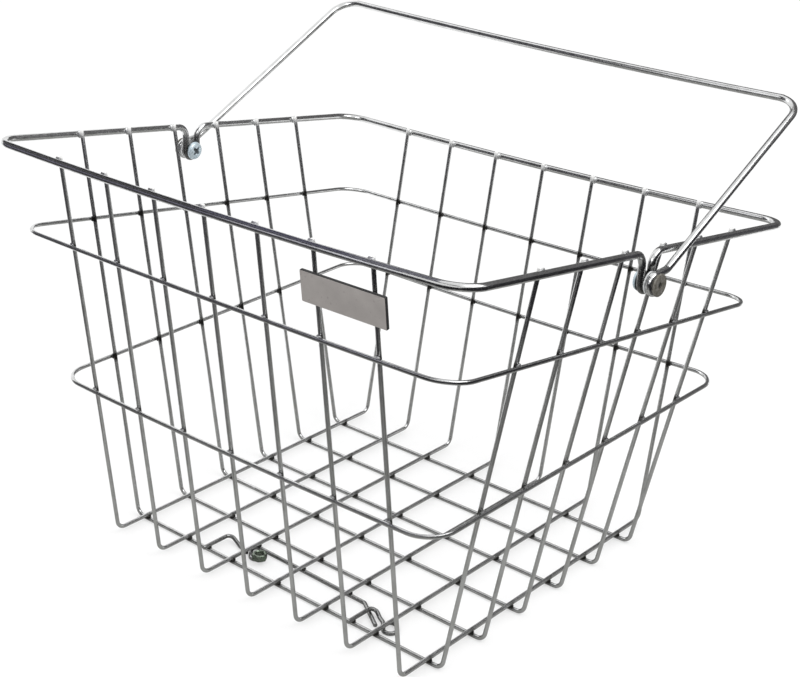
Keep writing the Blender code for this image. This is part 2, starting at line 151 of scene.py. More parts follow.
# Bracket wires and their nut
LEG_SPREAD = 0.0705
LEG_TAIL = 0.0055
LEG_LENGTH = 0.0230
LEG_KNEE = 0.6
CROSS_SETBACK = 0.0277
CROSS_SKEW = 0.0028
CROSS_LEFT = 0.0525
CROSS_RIGHT = 0.0600
SPUR_ANGLE = math.radians(-34.5)
SPUR_LENGTH = 0.0290
EYE_WIDTH = 0.0064
EYE_ANGLE = math.radians(-50.0)
LEFT_EYE_LENGTH = 0.0220
LEFT_LEG_SEAT = 0.0125
RIGHT_EYE_X = 0.0930
RIGHT_EYE_SETBACK = 0.0130
RIGHT_EYE_LENGTH = 0.0134
EYE_OPENING = 0.0026
MOUNT_BEND = 0.0040
MOUNT_NUT_WIDTH = 0.0100
MOUNT_NUT_HEIGHT = 0.0050
MOUNT_NUT_REACH = 0.0020
MOUNT_NUT_SHIFT = 0.0025
MOUNT_NUT_EDGE = 0.0006
STOP_WELD = (0.0012, 0.0008)

# Marks on the plating: scorch with painted shade at the welds, painted shade round the pivots, and
# tarnish
SCORCH_AND_SHADE_SHIFT = 0.0026
# Painted shade on the rim round each pivot
PIVOT_SHADE_REACH = 0.0150
PIVOT_SHADE_DEPTH = 0.5
BRACKET_TARNISH = 0.3

# Values that follow
LOW_LAYER = WIRE / 2
HIGH_LAYER = LOW_LAYER + WIRE + GAP
MESH_MIDDLE = (LOW_LAYER + HIGH_LAYER) / 2
LAST_X = (DEPTH_WIRES - 1) / 2 * PITCH
LAST_Y = (WIDTH_WIRES - 1) / 2 * PITCH
FOOT_X = LAST_X + SIDE_MARGIN
FOOT_Y = LAST_Y + END_MARGIN
TOP_X = FOOT_X + SIDE_FLARE
TOP_Y = FOOT_Y + END_FLARE
SIDE_LEAN = math.atan(SIDE_FLARE / RIM_HEIGHT)
END_LEAN = math.atan(END_FLARE / RIM_HEIGHT)
SEAT = (BARREL_DIAMETER + HEAVY_WIRE) / 2 + BARREL_PLAY
RIM_X = TOP_X + ((WIRE + HEAVY_WIRE) / 2 + GAP) / math.cos(SIDE_LEAN)
PIVOT_Y = -PIVOT_FORWARD
HEAD_X = RIM_X - HEAVY_WIRE / 2 - GAP
WASHER_X = RIM_X + HEAVY_WIRE / 2 + GAP
HANDLE_X = WASHER_X + WASHER_THICKNESS + GAP + HEAVY_WIRE / 2
NUT_X = HANDLE_X + HEAVY_WIRE / 2 + GAP
NEAR = PITCH / 4
FLOOR_WELDS = DEPTH_WIRES * WIDTH_WIRES
COLUMNS = np.arange(DEPTH_WIRES) * PITCH - LAST_X
ROWS = np.arange(WIDTH_WIRES) * PITCH - LAST_Y
LOOPS = {
    "upper_ring": (UPPER_HEIGHT, UPPER_SLOPE, UPPER_LIFT, WIRE, RING_CORNER),
    "lower_ring": (LOWER_HEIGHT, LOWER_SLOPE, LOWER_LIFT, WIRE, RING_CORNER),
    "rim": (RIM_HEIGHT, RIM_SLOPE, RIM_LIFT, HEAVY_WIRE, RIM_CORNER),
}

# Fineness
ARC_POINTS = 15
ROUND_POINTS = 6
EDGE_POINTS = 5
SETTLE_ROUNDS = 4
STEP = 0.0030
THIN_SIDES = 16
HEAVY_SIDES = 24
CUT_STEPS = 5
HEAD_SIDES = 96
HEAD_RINGS = 45
THREAD_RINGS = 6
WELD_SIDES = 12
WELD_RINGS = 5
WELD_LOBES = 0.16
HEAVY_WELD = 1.35
SHARP_ANGLE = math.radians(38.0)
SAME_POINT = 0.00001

RING_SIDES = 72

X_AXIS, Y_AXIS, Z_AXIS = np.eye(3)

# The camera's sensor and how far its picture is shifted, in picture widths
SENSOR_WIDTH = 36.0
PHOTO_SHIFT = (0.12548, -0.07013)

# Metal share and roughness of each zinc, and its warmer clouds' share of the colour
ZINCS = {
    "blue_zinc": (0.45, 0.36, (0.90, 0.94, 0.97)),
    "bright_zinc": (0.25, 0.30, (0.97, 0.97, 0.97)),
    "dark_zinc": (0.40, 0.48, (0.62, 0.60, 0.54)),
    "green_zinc": (0.95, 0.24, (0.8, 0.92, 0.8)),
}
# Colour of the painted shade in the screws' recesses, under their heads and at their far ends
ZINC_SHADE = (0.012, 0.013, 0.016)


def length_setting(name, description, default, low, high):
    """A setting that is a length."""
    return FloatProperty(name=name, description=description, default=default, min=low, max=high,
                         unit="LENGTH")


def color_setting(name, description, default):
    """A setting that is a colour."""
    return FloatVectorProperty(name=name, description=description, default=default, min=0.0, max=1.0,
                               size=3, subtype="COLOR")


class BasketShape(PropertyGroup):
    """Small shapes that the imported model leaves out."""

    cut_edge: length_setting(
        "Cut edge", "Radius worn on the cut ends of the wires", 0.0005, 0.0001, 0.0012)
    weld_reach: length_setting(
        "Weld reach", "Half width of a weld where two thin wires cross", 0.0022, 0.0010, 0.0030)
    weld_height: length_setting(
        "Weld height", "Half height of a weld, into the two wires that it joins", 0.0011, 0.0006, 0.0020)
    # How far the scorch and painted shade round a weld reach
    scorch_and_shade_reach: length_setting(
        "Scorch reach", "How far from a weld the plating stays dull and dark", 0.0029, 0.0010, 0.0080)
    # Length of the painted highlight, on satin, at each cut end
    tip_highlight_reach: length_setting(
        "Tip reach", "Length of the bright satin tip on each cut end", 0.0036, 0.0010, 0.0100)
    recess_length: length_setting(
        "Recess length", "Length of the cross recess's bars", 0.0078, 0.0040, 0.0100)
    recess_width: length_setting(
        "Recess width", "Width of the cross recess's bars at their ends", 0.0012, 0.0006, 0.0024)
    recess_depth: length_setting(
        "Recess depth", "Depth of the cross recess in its middle", 0.0022, 0.0010, 0.0028)
    plate_edge: length_setting(
        "Plate edge", "Radius on the name plate's edges", 0.0004, 0.0001, 0.0010)


class BasketFinish(PropertyGroup):
    """Colours of the metals."""

    chrome: color_setting("Chrome", "Plating on the wires", (0.80, 0.805, 0.81))
    chrome_dull: color_setting(
        "Dull chrome", "Duller patches of the wires' plating", (0.66, 0.665, 0.66))
    # Dark colour at the welds: burnt plating and painted shade between crossing wires
    scorch_and_shade: color_setting("Scorch", "Burnt plating at the welds", (0.05, 0.048, 0.045))
    # Bright cut ends: satin plating with a painted highlight
    tip_highlight: color_setting("Tip", "Satin plating on the cut ends", (0.88, 0.88, 0.87))
    blue_zinc: color_setting("Blue zinc", "Plating on the pivot screws", (0.70, 0.80, 0.85))
    bright_zinc: color_setting("Bright zinc", "Plating on the washers", (0.82, 0.83, 0.84))
    green_zinc: color_setting("Green zinc", "Plating on the bracket's nut", (0.26, 0.285, 0.25))
    dark_zinc: color_setting("Dark zinc", "Plating on the pivots' barrel nuts", (0.27, 0.258, 0.235))
    plate_face: color_setting("Plate face", "Satin sheet on the name plate", (0.37, 0.345, 0.33))
    plate_body: color_setting("Plate body", "Dark body of the name plate", (0.022, 0.022, 0.022))


class BasketStudio(PropertyGroup):
    """Camera and light."""

    camera_place: FloatVectorProperty(
        name="Camera place", description="Where the photograph was taken from", subtype="TRANSLATION",
        unit="LENGTH", size=3, default=(0.669841, -0.829130, 0.606762))
    camera_turn: FloatVectorProperty(
        name="Camera turn", description="Direction of the photograph's camera", subtype="EULER",
        unit="ROTATION", size=3,
        default=(math.radians(69.07185), math.radians(-0.87738), math.radians(42.76200)))
    lens: FloatProperty(
        name="Lens", description="Focal length for a picture 36 mm wide, in millimetres",
        default=71.4924, min=10.0, max=300.0)
    key_power: FloatProperty(
        name="Key light", description="Power of the large lamp above, in watts",
        default=16.0, min=0.0, max=200.0)
    fill_power: FloatProperty(
        name="Fill light", description="Power of the front lamp, three times the left one, in watts",
        default=12.0, min=0.0, max=200.0)
    world_level: FloatProperty(
        name="World", description="Level of the even light from all round",
        default=1.0, min=0.0, max=2.0)
    floor_size: length_setting("Floor", "Half width of the floor", 12.0, 1.0, 50.0)
    seed: IntProperty(
        name="Grain", description="Picks another run of the plating's patches",
        default=3, min=0, max=100)


def unit(vectors):
    """Vectors scaled to length one: each is divided by the root of its squared parts."""
    return vectors / np.linalg.norm(vectors, axis=-1, keepdims=True)


def full_turn(count):
    """Angles of a whole turn in even steps."""
    return np.arange(count) / count * math.tau


def spokes(angles, side, up):
    """Directions at angles round an axis: cos(angle) * side + sin(angle) * up."""
    return np.cos(angles)[..., None] * side + np.sin(angles)[..., None] * up


def level(name, x, y):
    """Height of a loop: it falls by its slope along Y and lifts with the square of x / TOP_X."""
    height, slope, lift, _, _ = LOOPS[name]
    return MESH_MIDDLE + height - slope * y + lift * (x / TOP_X) ** 2


def wall_x(y, z):
    """Half width between the side walls' wires: it grows in line with height, up to the rim."""
    return FOOT_X + SIDE_FLARE * (z - MESH_MIDDLE) / (level("rim", TOP_X, y) - MESH_MIDDLE)


def wall_y(x, z, side):
    """Place along Y of the front or back wall's wires, which flare in line with height too."""
    top = level("rim", x, side * TOP_Y)
    return side * (FOOT_Y + END_FLARE * (z - MESH_MIDDLE) / (top - MESH_MIDDLE))


def bent_path(corners, radii, closed=False):
    """Centre-line of a bent wire: straight between corners, with an arc at each that has a radius.

    An arc's centre is on the corner's bisector, radius / sin(half the inside angle) away. Its points
    are the centre plus a blend of the spokes to its two ends, each weighted by the sine of its share
    of the turn over the sine of the whole turn.
    """
    corners = np.asarray(corners, float)
    radii = np.array(radii, float)
    if not closed:
        radii[[0, -1]] = 0.0
    bent = radii > 0.0
    back = unit(np.roll(corners, 1, 0) - corners)
    ahead = unit(np.roll(corners, -1, 0) - corners)
    inside = np.arccos(np.clip((back * ahead).sum(1), -1.0, 1.0))
    half = np.where(bent, inside / 2, math.pi / 4)
    middle = back + ahead
    middle[~bent] = X_AXIS
    centres = corners + unit(middle) * (radii / np.sin(half))[:, None]
    reach = (radii / np.tan(half))[:, None]
    first = (corners + back * reach - centres)[:, None]
    last = (corners + ahead * reach - centres)[:, None]
    turn = (math.pi - 2 * half)[:, None, None]
    share = np.linspace(0.0, 1.0, ARC_POINTS)[None, :, None]
    arcs = (np.sin((1 - share) * turn) * first + np.sin(share * turn) * last) / np.sin(turn)
    points = np.where(bent[:, None, None], centres[:, None] + arcs, corners[:, None])
    keep = np.broadcast_to(bent[:, None], points.shape[:2]).copy()
    keep[:, 0] = True
    path = points[keep]
    far = np.linalg.norm(np.roll(path, -1, 0) - path, axis=1) > SAME_POINT
    if not closed:
        far[-1] = True
    return path[far]


def spaced(path, closed=False):
    """The same path with points no more than STEP apart, set at even shares of each long run."""
    ends = np.roll(path, -1, 0) if closed else path[1:]
    starts = path if closed else path[:-1]
    counts = np.ceil(np.linalg.norm(ends - starts, axis=1) / STEP).astype(int).clip(1)
    run = np.repeat(np.arange(len(counts)), counts)
    first = np.repeat(np.cumsum(counts) - counts, counts)
    share = ((np.arange(len(run)) - first) / counts[run])[:, None]
    points = starts[run] + (ends - starts)[run] * share
    return points if closed else np.concatenate([points, path[-1:]])


def cut_ends(path, radius, edge):
    """Path and radii of a wire with both ends cut and a little worn.

    Within one edge length of an end the radius is radius - edge + edge * sin(turn) at the distance
    edge * (1 - cos(turn)), for turns from 0 to 90 degrees. These points take the place of the path's
    own within 1.5 edge lengths of each end.
    """
    turn = np.linspace(0.0, math.pi / 2, CUT_STEPS)
    out = edge * (1 - np.cos(turn))
    worn = radius - edge + edge * np.sin(turn)
    start_way = unit(path[1] - path[0])
    end_way = unit(path[-2] - path[-1])
    inner = path[(np.linalg.norm(path - path[0], axis=1) > 1.5 * edge)
                 & (np.linalg.norm(path - path[-1], axis=1) > 1.5 * edge)]
    points = np.concatenate([path[0] + out[:, None] * start_way, inner,
                             (path[-1] + out[:, None] * end_way)[::-1]])
    radii = np.concatenate([worn, np.full(len(inner), radius), worn[::-1]])
    return points, radii


def grid_faces(rows, columns, wrap_rows=False):
    """Quads of a grid whose columns run round and meet, and whose rows may meet too."""
    row = np.arange(rows if wrap_rows else rows - 1)[:, None]
    column = np.arange(columns)[None, :]
    after = (row + 1) % rows
    beside = (column + 1) % columns
    return np.stack([row * columns + column, row * columns + beside,
                     after * columns + beside, after * columns + column], -1).reshape(-1, 4)


def closed_grid(rings):
    """Points and faces of a stack of rings whose first and last ring are closed by a pole each."""
    rows, columns = rings.shape[:2]
    points = np.concatenate([rings.reshape(-1, 3), rings[:1].mean(1), rings[-1:].mean(1)])
    column = np.arange(columns)
    beside = (column + 1) % columns
    last = (rows - 1) * columns
    pole = np.full(columns, rows * columns)
    return points, [grid_faces(rows, columns), np.stack([beside, column, pole], 1),
                    np.stack([last + column, last + beside, pole + 1], 1)]


def tube(path, aside, radii, sides, closed=False):
    """Round wire along a path: centre + radius * (cos(angle) * side + sin(angle) * up).

    The side direction is the given one less its part along the path, and up is square to both.
    Returns the points, the faces and, for each point, its angle and its length along the wire.
    """
    if closed:
        along = unit(np.roll(path, -1, 0) - np.roll(path, 1, 0))
    else:
        along = unit(np.gradient(path, axis=0))
    aside = np.broadcast_to(aside, path.shape)
    side = unit(aside - (aside * along).sum(1, keepdims=True) * along)
    up = np.cross(along, side)
    angles = full_turn(sides)
    radii = np.broadcast_to(radii, len(path))[:, None, None]
    rings = path[:, None] + radii * spokes(angles, side[:, None], up[:, None])
    run = np.concatenate([[0.0], np.cumsum(np.linalg.norm(np.diff(path, axis=0), axis=1))])
    surface = np.stack(np.broadcast_arrays(angles[None, :] / math.tau, run[:, None]), -1)
    surface = surface.reshape(-1, 2)
    if closed:
        return rings.reshape(-1, 3), [grid_faces(len(path), sides, wrap_rows=True)], surface
    points, faces = closed_grid(rings)
    poles = np.array([[0.5, run[0]], [0.5, run[-1]]])
    return points, faces, np.concatenate([surface, poles])


def signed_volume(points, faces):
    """Six times the volume inside the faces: the sum of each triangle's triple product."""
    total = 0.0
    for group in faces:
        for last in range(2, group.shape[1]):
            a, b, c = points[group[:, 0]], points[group[:, last - 1]], points[group[:, last]]
            total += (a * np.cross(b, c)).sum()
    return total


def make_piece(name, points, faces, finish, body="basket", replaces=(), surface=None, marks=None):
    """One piece of the scene, from whole arrays of points and faces, with its faces turned outwards.

    The surface holds the points' places in UV, and the marks are attributes of the points.
    """
    if signed_volume(points, faces) < 0.0:
        faces = [group[:, ::-1] for group in faces]
    corners = np.concatenate([group.ravel() for group in faces]).astype(np.int32)
    sizes = np.concatenate([np.full(len(group), group.shape[1]) for group in faces])
    mesh = bpy.data.meshes.new(name)
    mesh.vertices.add(len(points))
    mesh.vertices.foreach_set("co", points.astype(np.float32).ravel())
    mesh.loops.add(len(corners))
    mesh.loops.foreach_set("vertex_index", corners)
    mesh.polygons.add(len(sizes))
    mesh.polygons.foreach_set("loop_start", (np.cumsum(sizes) - sizes).astype(np.int32))
    mesh.update(calc_edges=True)
    if surface is not None:
        layer = mesh.uv_layers.new(name="surface")
        layer.data.foreach_set("uv", surface[corners].astype(np.float32).ravel())
    for key, values in (marks or {}).items():
        attribute = mesh.attributes.new(key, "FLOAT", "POINT")
        attribute.data.foreach_set("value", values.astype(np.float32))
    mesh.shade_smooth()
    mesh.set_sharp_from_angle(angle=SHARP_ANGLE)
    mesh.materials.append(materials()[f"basket_{finish}"])
    if mesh.validate():
        raise ValueError(f"{name}: its mesh had faults")
    piece = bpy.data.objects.new(name, mesh)
    bpy.context.scene.collection.objects.link(piece)
    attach(piece, body)
    if replaces:
        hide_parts(*replaces)


def scorch_and_shade_spots():
    """Middles of the thin wires' welds, where the scorch and painted shade go: the bottom's, and the
    walls' moved to the inner side.

    The marks in the photograph show on that side.
    """
    welds = crossings()
    return (np.array([weld[0] for weld in welds[:FLOOR_WELDS]]),
            np.array([middle - normal * SCORCH_AND_SHADE_SHIFT
                      for middle, normal, _, heavy in welds[FLOOR_WELDS:] if not heavy]))


def weld_share(points, spots, reach):
    """How much scorch and painted shade each point gets: e to the minus squared distance to the nearest
    weld / reach.
    """
    if len(spots) == 0:
        return np.zeros(len(points))
    nearest = np.full(len(points), np.inf)
    for spot in spots:
        nearest = np.minimum(nearest, ((points - spot) ** 2).sum(1))
    return np.exp(-nearest / reach ** 2)


def wire_corners(ends, feet):
    """Corner points of a body wire: a tip a little past each end, and the two feet between them."""
    first, last = (end + unit(end - foot) * TIP for end, foot in zip(ends, feet))
    return [first, *feet, last]


def depth_corners(x):
    """Corner points of a front-to-back wire, from its front tip to its back tip."""
    return wire_corners(
        [np.array([x, side * TOP_Y, level("rim", x, side * TOP_Y)]) for side in (-1, 1)],
        [np.array([x, wall_y(x, HIGH_LAYER, side), HIGH_LAYER]) for side in (-1, 1)])


def width_corners(y):
    """Corner points of a side-to-side wire, from its left tip to its right tip."""
    return wire_corners([np.array([side * TOP_X, y, level("rim", TOP_X, y)]) for side in (-1, 1)],
                        [np.array([side * wall_x(y, LOW_LAYER), y, LOW_LAYER]) for side in (-1, 1)])


def pivot_point(x):
    """Point on the handle's axis."""
    return np.array([x, PIVOT_Y, level("rim", TOP_X, PIVOT_Y) - PIVOT_DROP])


def rim_dip(side):
    """Corner points and radii of the rim's dip under a pivot, in the order that the loop runs."""
    x, y, z = pivot_point(side * RIM_X)
    start, end = y - side * SEAT, y + side * SEAT
    points = [(x, start, level("rim", RIM_X, start)), (x, start, z - SEAT),
              (x, end, z - SEAT), (x, end, level("rim", RIM_X, end))]
    return points, [SHOULDER_RADIUS, SEAT, SEAT, SHOULDER_RADIUS]


def loop_side(name, x=None, y=None, side=1):
    """Centre of a loop where it passes a wall wire, settled by a few rounds of height and width."""
    off = (WIRE + LOOPS[name][3]) / 2 + GAP
    if x is None:
        wide = TOP_X
        for _ in range(SETTLE_ROUNDS):
            wide = wall_x(y, level(name, wide, y))
        x = side * (wide + off / math.cos(SIDE_LEAN))
    else:
        y = side * TOP_Y
        for _ in range(SETTLE_ROUNDS):
            y = wall_y(x, level(name, x, y), side)
        y += side * off / math.cos(END_LEAN)
    return np.array([x, y, level(name, x, y)])


def loop_corners(name):
    """Corner points and radii of a ring or the rim, round the outside of every wall wire."""
    points, radii = [], []
    for x_side, y_side in ((1, -1), (1, 1), (-1, 1), (-1, -1)):
        x, y = TOP_X, y_side * TOP_Y
        for _ in range(SETTLE_ROUNDS):
            x, y = loop_side(name, y=y)[0], loop_side(name, x=x, side=y_side)[1]
        points.append((x_side * x, y, level(name, x, y)))
        radii.append(LOOPS[name][4])
        if x_side * y_side < 0:
            run = [loop_side(name, y=row, side=x_side) for row in ROWS[::x_side]]
            dip, dip_radii = rim_dip(x_side) if name == "rim" else ([], [])
            half = len(run) // 2
            points += run[:half] + dip + run[half:]
            radii += [0.0] * half + dip_radii + [0.0] * half
        else:
            points += [loop_side(name, x=column, side=y_side) for column in COLUMNS[::-y_side]]
            radii += [0.0] * DEPTH_WIRES
    return points, radii


def outward_from_box(path, half_x, half_y):
    """Direction from the nearest point of an inner rectangle, which turns evenly round corners."""
    return path - path.clip((-half_x, -half_y, -math.inf), (half_x, half_y, math.inf))


def crossings():
    """Every weld: its middle, its normal, the way along a wire and 1 if it holds the rim.

    On the bottom the two layers cross. On the walls a loop's weld lies inwards of its centre by half
    its diameter and half the gap, along the normal of the leaning wall.
    """
    welds = [((x, y, MESH_MIDDLE), Z_AXIS, Y_AXIS, 0) for x in COLUMNS for y in ROWS]
    for name, (_, _, _, diameter, _) in LOOPS.items():
        inwards = diameter / 2 + GAP / 2
        for side in (-1, 1):
            wall = [(loop_side(name, x=x, side=side), depth_corners(x), -side * X_AXIS)
                    for x in COLUMNS]
            wall += [(loop_side(name, y=y, side=side), width_corners(y), side * Y_AXIS)
                     for y in ROWS]
            for centre, corners, across in wall:
                top, foot = corners[:2] if side < 0 else corners[:1:-1]
                up = unit(top - foot)
                normal = np.cross(across, up)
                welds.append((centre - normal * inwards, normal, up, int(diameter == HEAVY_WIRE)))
    return welds


def eye_frame():
    """Directions along a bracket eye and across it."""
    along = np.array([math.cos(EYE_ANGLE), math.sin(EYE_ANGLE), 0.0])
    return along, np.array([-along[1], along[0], 0.0])


def cross_point(x):
    """Point on the cross wire, which lies a little askew."""
    share = (x + CROSS_LEFT) / (CROSS_LEFT + CROSS_RIGHT)
    return np.array([x, -LAST_Y + CROSS_SETBACK - CROSS_SKEW * share, LOW_LAYER])


def bracket_paths():
    """Centre-lines of the cross wire and both legs, the left eye's middle and the left leg's end.

    The left eye stops short of the cross wire, and the left leg short of the left eye's side.
    """
    along, across = eye_frame()
    radius = (EYE_WIDTH + WIRE) / 2
    left, right = cross_point(-CROSS_LEFT), cross_point(CROSS_RIGHT)
    spur = np.array([math.cos(SPUR_ANGLE), math.sin(SPUR_ANGLE), 0.0])
    turn_out = left + along * LEFT_EYE_LENGTH
    turn_back = turn_out + across * 2 * radius
    space = WIRE / 2 * (1 + across[1]) + GAP
    rise = cross_point(turn_back[0])[1] - space - turn_back[1]
    end = turn_back + along * rise / along[1]
    cross = bent_path([right + spur * SPUR_LENGTH, right, left, turn_out, turn_back, end],
                      [0.0, MOUNT_BEND, MOUNT_BEND, radius, radius, 0.0])
    tails = {side: np.array([side * LEG_SPREAD, -LAST_Y - LEG_TAIL, HIGH_LAYER]) for side in (-1, 1)}
    bends = {side: np.array([side * LEG_SPREAD, -LAST_Y + LEG_LENGTH, HIGH_LAYER]) for side in (-1, 1)}
    seat = left + along * LEFT_LEG_SEAT
    way = unit(seat - bends[-1])
    cut = WIRE / 2 * math.sin(math.acos(way @ across))
    stop = seat - across * (WIRE / 2 + GAP + cut)
    knee = bends[-1] + (stop - bends[-1]) * LEG_KNEE
    knee[2] = LOW_LAYER
    left_leg = bent_path([tails[-1], bends[-1], knee, stop], [0.0, MOUNT_BEND, MOUNT_BEND, 0.0])
    half = along * RIGHT_EYE_LENGTH / 2
    centre = np.array([RIGHT_EYE_X, -LAST_Y + RIGHT_EYE_SETBACK, LOW_LAYER])
    near, far = centre - across * radius, centre + across * radius
    knee = bends[1] + (near - half - bends[1]) * LEG_KNEE
    knee[2] = LOW_LAYER
    right_leg = bent_path(
        [tails[1], bends[1], knee, near - half, near + half, far + half, far - half,
         near - half + across * EYE_OPENING],
        [0.0, MOUNT_BEND, MOUNT_BEND, MOUNT_BEND, radius, radius, radius, 0.0])
    return cross, left_leg, right_leg, (turn_out + turn_back) / 2, stop


def feed(tree, socket, value):
    """Link another node's output into a socket, or set the socket's value."""
    if isinstance(value, NodeSocket):
        tree.links.new(value, socket)
    else:
        socket.default_value = value


def node(tree, kind, values=None, **settings):
    """Add a shader node, with its settings and the values of its inputs by name or number."""
    made = tree.nodes.new(kind)
    for key, value in settings.items():
        setattr(made, key, value)
    for key, value in (values or {}).items():
        feed(tree, made.inputs[key], value)
    return made


def new_material(name):
    """Start a node material and give its tree, its shader and the places on its piece."""
    material = bpy.data.materials.new(name)
    material.use_nodes = True
    tree = material.node_tree
    return tree, tree.nodes["Principled BSDF"], node(tree, "ShaderNodeTexCoord").outputs


def mark(tree, name):
    """The value of an attribute of the piece's points."""
    return node(tree, "ShaderNodeAttribute", attribute_name=name).outputs["Fac"]


def grain(tree, place, scale, detail, shift=0.0, stretch=(1.0, 1.0, 1.0)):
    """Noise on a piece, stretched by a Mapping node, as a value from 0 to 1."""
    mapping = node(tree, "ShaderNodeMapping", {
        "Vector": place, "Scale": stretch, "Location": (shift, shift, shift)})
    noise = node(tree, "ShaderNodeTexNoise", {
        "Vector": mapping.outputs["Vector"], "Scale": scale, "Detail": detail, "Roughness": 0.6})
    return noise.outputs["Fac"]


def ramp(tree, value, low, high, start=0.0, end=1.0):
    """A value carried in line from the range low to high onto start to end, and kept inside it."""
    made = node(tree, "ShaderNodeMapRange", {"Value": value, 1: low, 2: high, 3: start, 4: end})
    return made.outputs["Result"]


def blend_colors(tree, share, first, second):
    """A mix of two colours, each given as a colour or as another node's output."""
    first, second = (color if isinstance(color, NodeSocket) else (*color, 1.0)
                     for color in (first, second))
    mix = node(tree, "ShaderNodeMix", {"Factor": share}, data_type="RGBA")
    feed(tree, mix.inputs[6], first)
    feed(tree, mix.inputs[7], second)
    return mix.outputs[2]


def math_of(tree, operation, *values):
    """The result of a Math node from its values in order."""
    return node(tree, "ShaderNodeMath", dict(enumerate(values)), operation=operation).outputs[0]


def sum_of(tree, first, second, scale):
    """first + second * scale."""
    return math_of(tree, "MULTIPLY_ADD", second, scale, first)


def scaled(color, share):
    """A colour times a share, or times a share of each part."""
    return tuple(np.multiply(color, share))


def shade(tree, shader, color, rough, metal=0.0):
    """Give a shader its colour, roughness and share of metal."""
    for key, value in (("Base Color", color), ("Roughness", rough), ("Metallic", metal)):
        feed(tree, shader.inputs[key], value)


def bump_of(tree, shader, height, strength, distance):
    """Small relief on the shader's normal."""
    bump = node(tree, "ShaderNodeBump", {"Strength": strength, "Distance": distance, "Height": height})
    feed(tree, shader.inputs["Normal"], bump.outputs["Normal"])


def chrome_material(name, finish, seed):
    """Chrome on drawn wire: duller patches, fine lines along it, scorch with painted shade at the welds,
    and satin tips with a painted highlight.
    """
    tree, shader, place = new_material(name)
    stain_and_shade, tip_highlight = mark(tree, "stain_and_shade"), mark(tree, "tip_highlight")
    patches = grain(tree, place["Object"], 90.0, 3.0, seed)
    specks = grain(tree, place["Object"], 900.0, 2.0, seed)
    lines = grain(tree, place["UV"], 1.0, 2.0, stretch=(90.0, 120.0, 1.0))
    color = blend_colors(tree, ramp(tree, patches, 0.38, 0.66), finish.chrome, finish.chrome_dull)
    # Darker by the stain mark: scorch and painted shade at the welds, painted shade round the pivots,
    # tarnish
    color = blend_colors(tree, ramp(tree, stain_and_shade, 0.05, 0.6), color, finish.scorch_and_shade)
    # Painted highlight, on satin, at the cut ends
    color = blend_colors(tree, tip_highlight, color, finish.tip_highlight)
    rough = sum_of(tree, ramp(tree, specks, 0.35, 0.75, 0.12, 0.26), stain_and_shade, 0.22)
    rough = sum_of(tree, rough, tip_highlight, 0.3)
    shade(tree, shader, color, rough, ramp(tree, tip_highlight, 0.0, 1.0, 1.0, 0.15))
    bump_of(tree, shader, sum_of(tree, lines, specks, 0.5), 0.25, 0.00006)


def weld_material(name, finish, seed):
    """Weld metal under thin plating: uneven, and dark with scorch and painted shade where the stain
    attribute says.
    """
    tree, shader, place = new_material(name)
    lumps = grain(tree, place["Object"], 700.0, 3.0, seed)
    share = sum_of(tree, mark(tree, "stain_and_shade"), lumps, -0.5)
    color = blend_colors(tree, ramp(tree, share, 0.05, 0.45), finish.chrome, finish.scorch_and_shade)
    shade(tree, shader, color, ramp(tree, lumps, 0.3, 0.8, 0.3, 0.5), 1.0)
    bump_of(tree, shader, lumps, 0.5, 0.0002)


def zinc_material(name, color, seed, metal, rough, tint):
    """Zinc plating: cloudy in colour and gloss, pitted, and dark with painted shade where the stain
    attribute says.
    """
    tree, shader, place = new_material(name)
    clouds = grain(tree, place["Object"], 320.0, 3.0, seed)
    pits = grain(tree, place["Object"], 1500.0, 2.0, seed)
    warm = scaled(color, tint)
    tone = blend_colors(tree, ramp(tree, clouds, 0.36, 0.62), color, warm)
    tone = blend_colors(tree, ramp(tree, pits, 0.54, 0.66), tone, scaled(warm, 0.35))
    # Painted shade from the stain mark
    tone = blend_colors(tree, mark(tree, "stain_and_shade"), tone, ZINC_SHADE)
    shade(tree, shader, tone, ramp(tree, clouds, 0.3, 0.7, rough - 0.07, rough + 0.08), metal)
    bump_of(tree, shader, pits, 0.3, 0.00008)


def plate_face_material(name, finish, seed):
    """Satin sheet: fine lines along its length, a soft change of tone and a few faint spots."""
    tree, shader, place = new_material(name)
    brushing = grain(tree, place["Object"], 60.0, 4.0, seed, (1.0, 60.0, 60.0))
    clouds = grain(tree, place["Object"], 55.0, 2.0, seed)
    spots = grain(tree, place["Object"], 420.0, 1.0, seed)
    face = finish.plate_face
    color = blend_colors(tree, ramp(tree, clouds, 0.35, 0.65), face, scaled(face, 0.88))
    color = blend_colors(tree, ramp(tree, spots, 0.66, 0.74), color, scaled(face, 0.72))
    shade(tree, shader, color, ramp(tree, brushing, 0.3, 0.7, 0.42, 0.58), 0.10)
    bump_of(tree, shader, brushing, 0.2, 0.00004)


def plate_body_material(name, finish, seed):
    """Black moulded body behind the plate's face, with a fine even grain."""
    tree, shader, place = new_material(name)
    fine = grain(tree, place["Object"], 1800.0, 2.0, seed)
    body = finish.plate_body
    color = blend_colors(tree, ramp(tree, fine, 0.45, 0.8), body, scaled(body, 2.2))
    shade(tree, shader, color, ramp(tree, fine, 0.3, 0.7, 0.42, 0.6))
    bump_of(tree, shader, fine, 0.3, 0.00006)


def materials():
    """The basket's materials by name, made once."""
    if "basket_chrome" not in bpy.data.materials:
        finish = bpy.context.scene.basket_finish
        seed = float(bpy.context.scene.basket_studio.seed)
        chrome_material("basket_chrome", finish, seed)
        weld_material("basket_weld", finish, seed)
        for key, (metal, rough, tint) in ZINCS.items():
            zinc_material(f"basket_{key}", getattr(finish, key), seed, metal, rough, tint)
        plate_face_material("basket_plate_face", finish, seed)
        plate_body_material("basket_plate_body", finish, seed)
    return bpy.data.materials


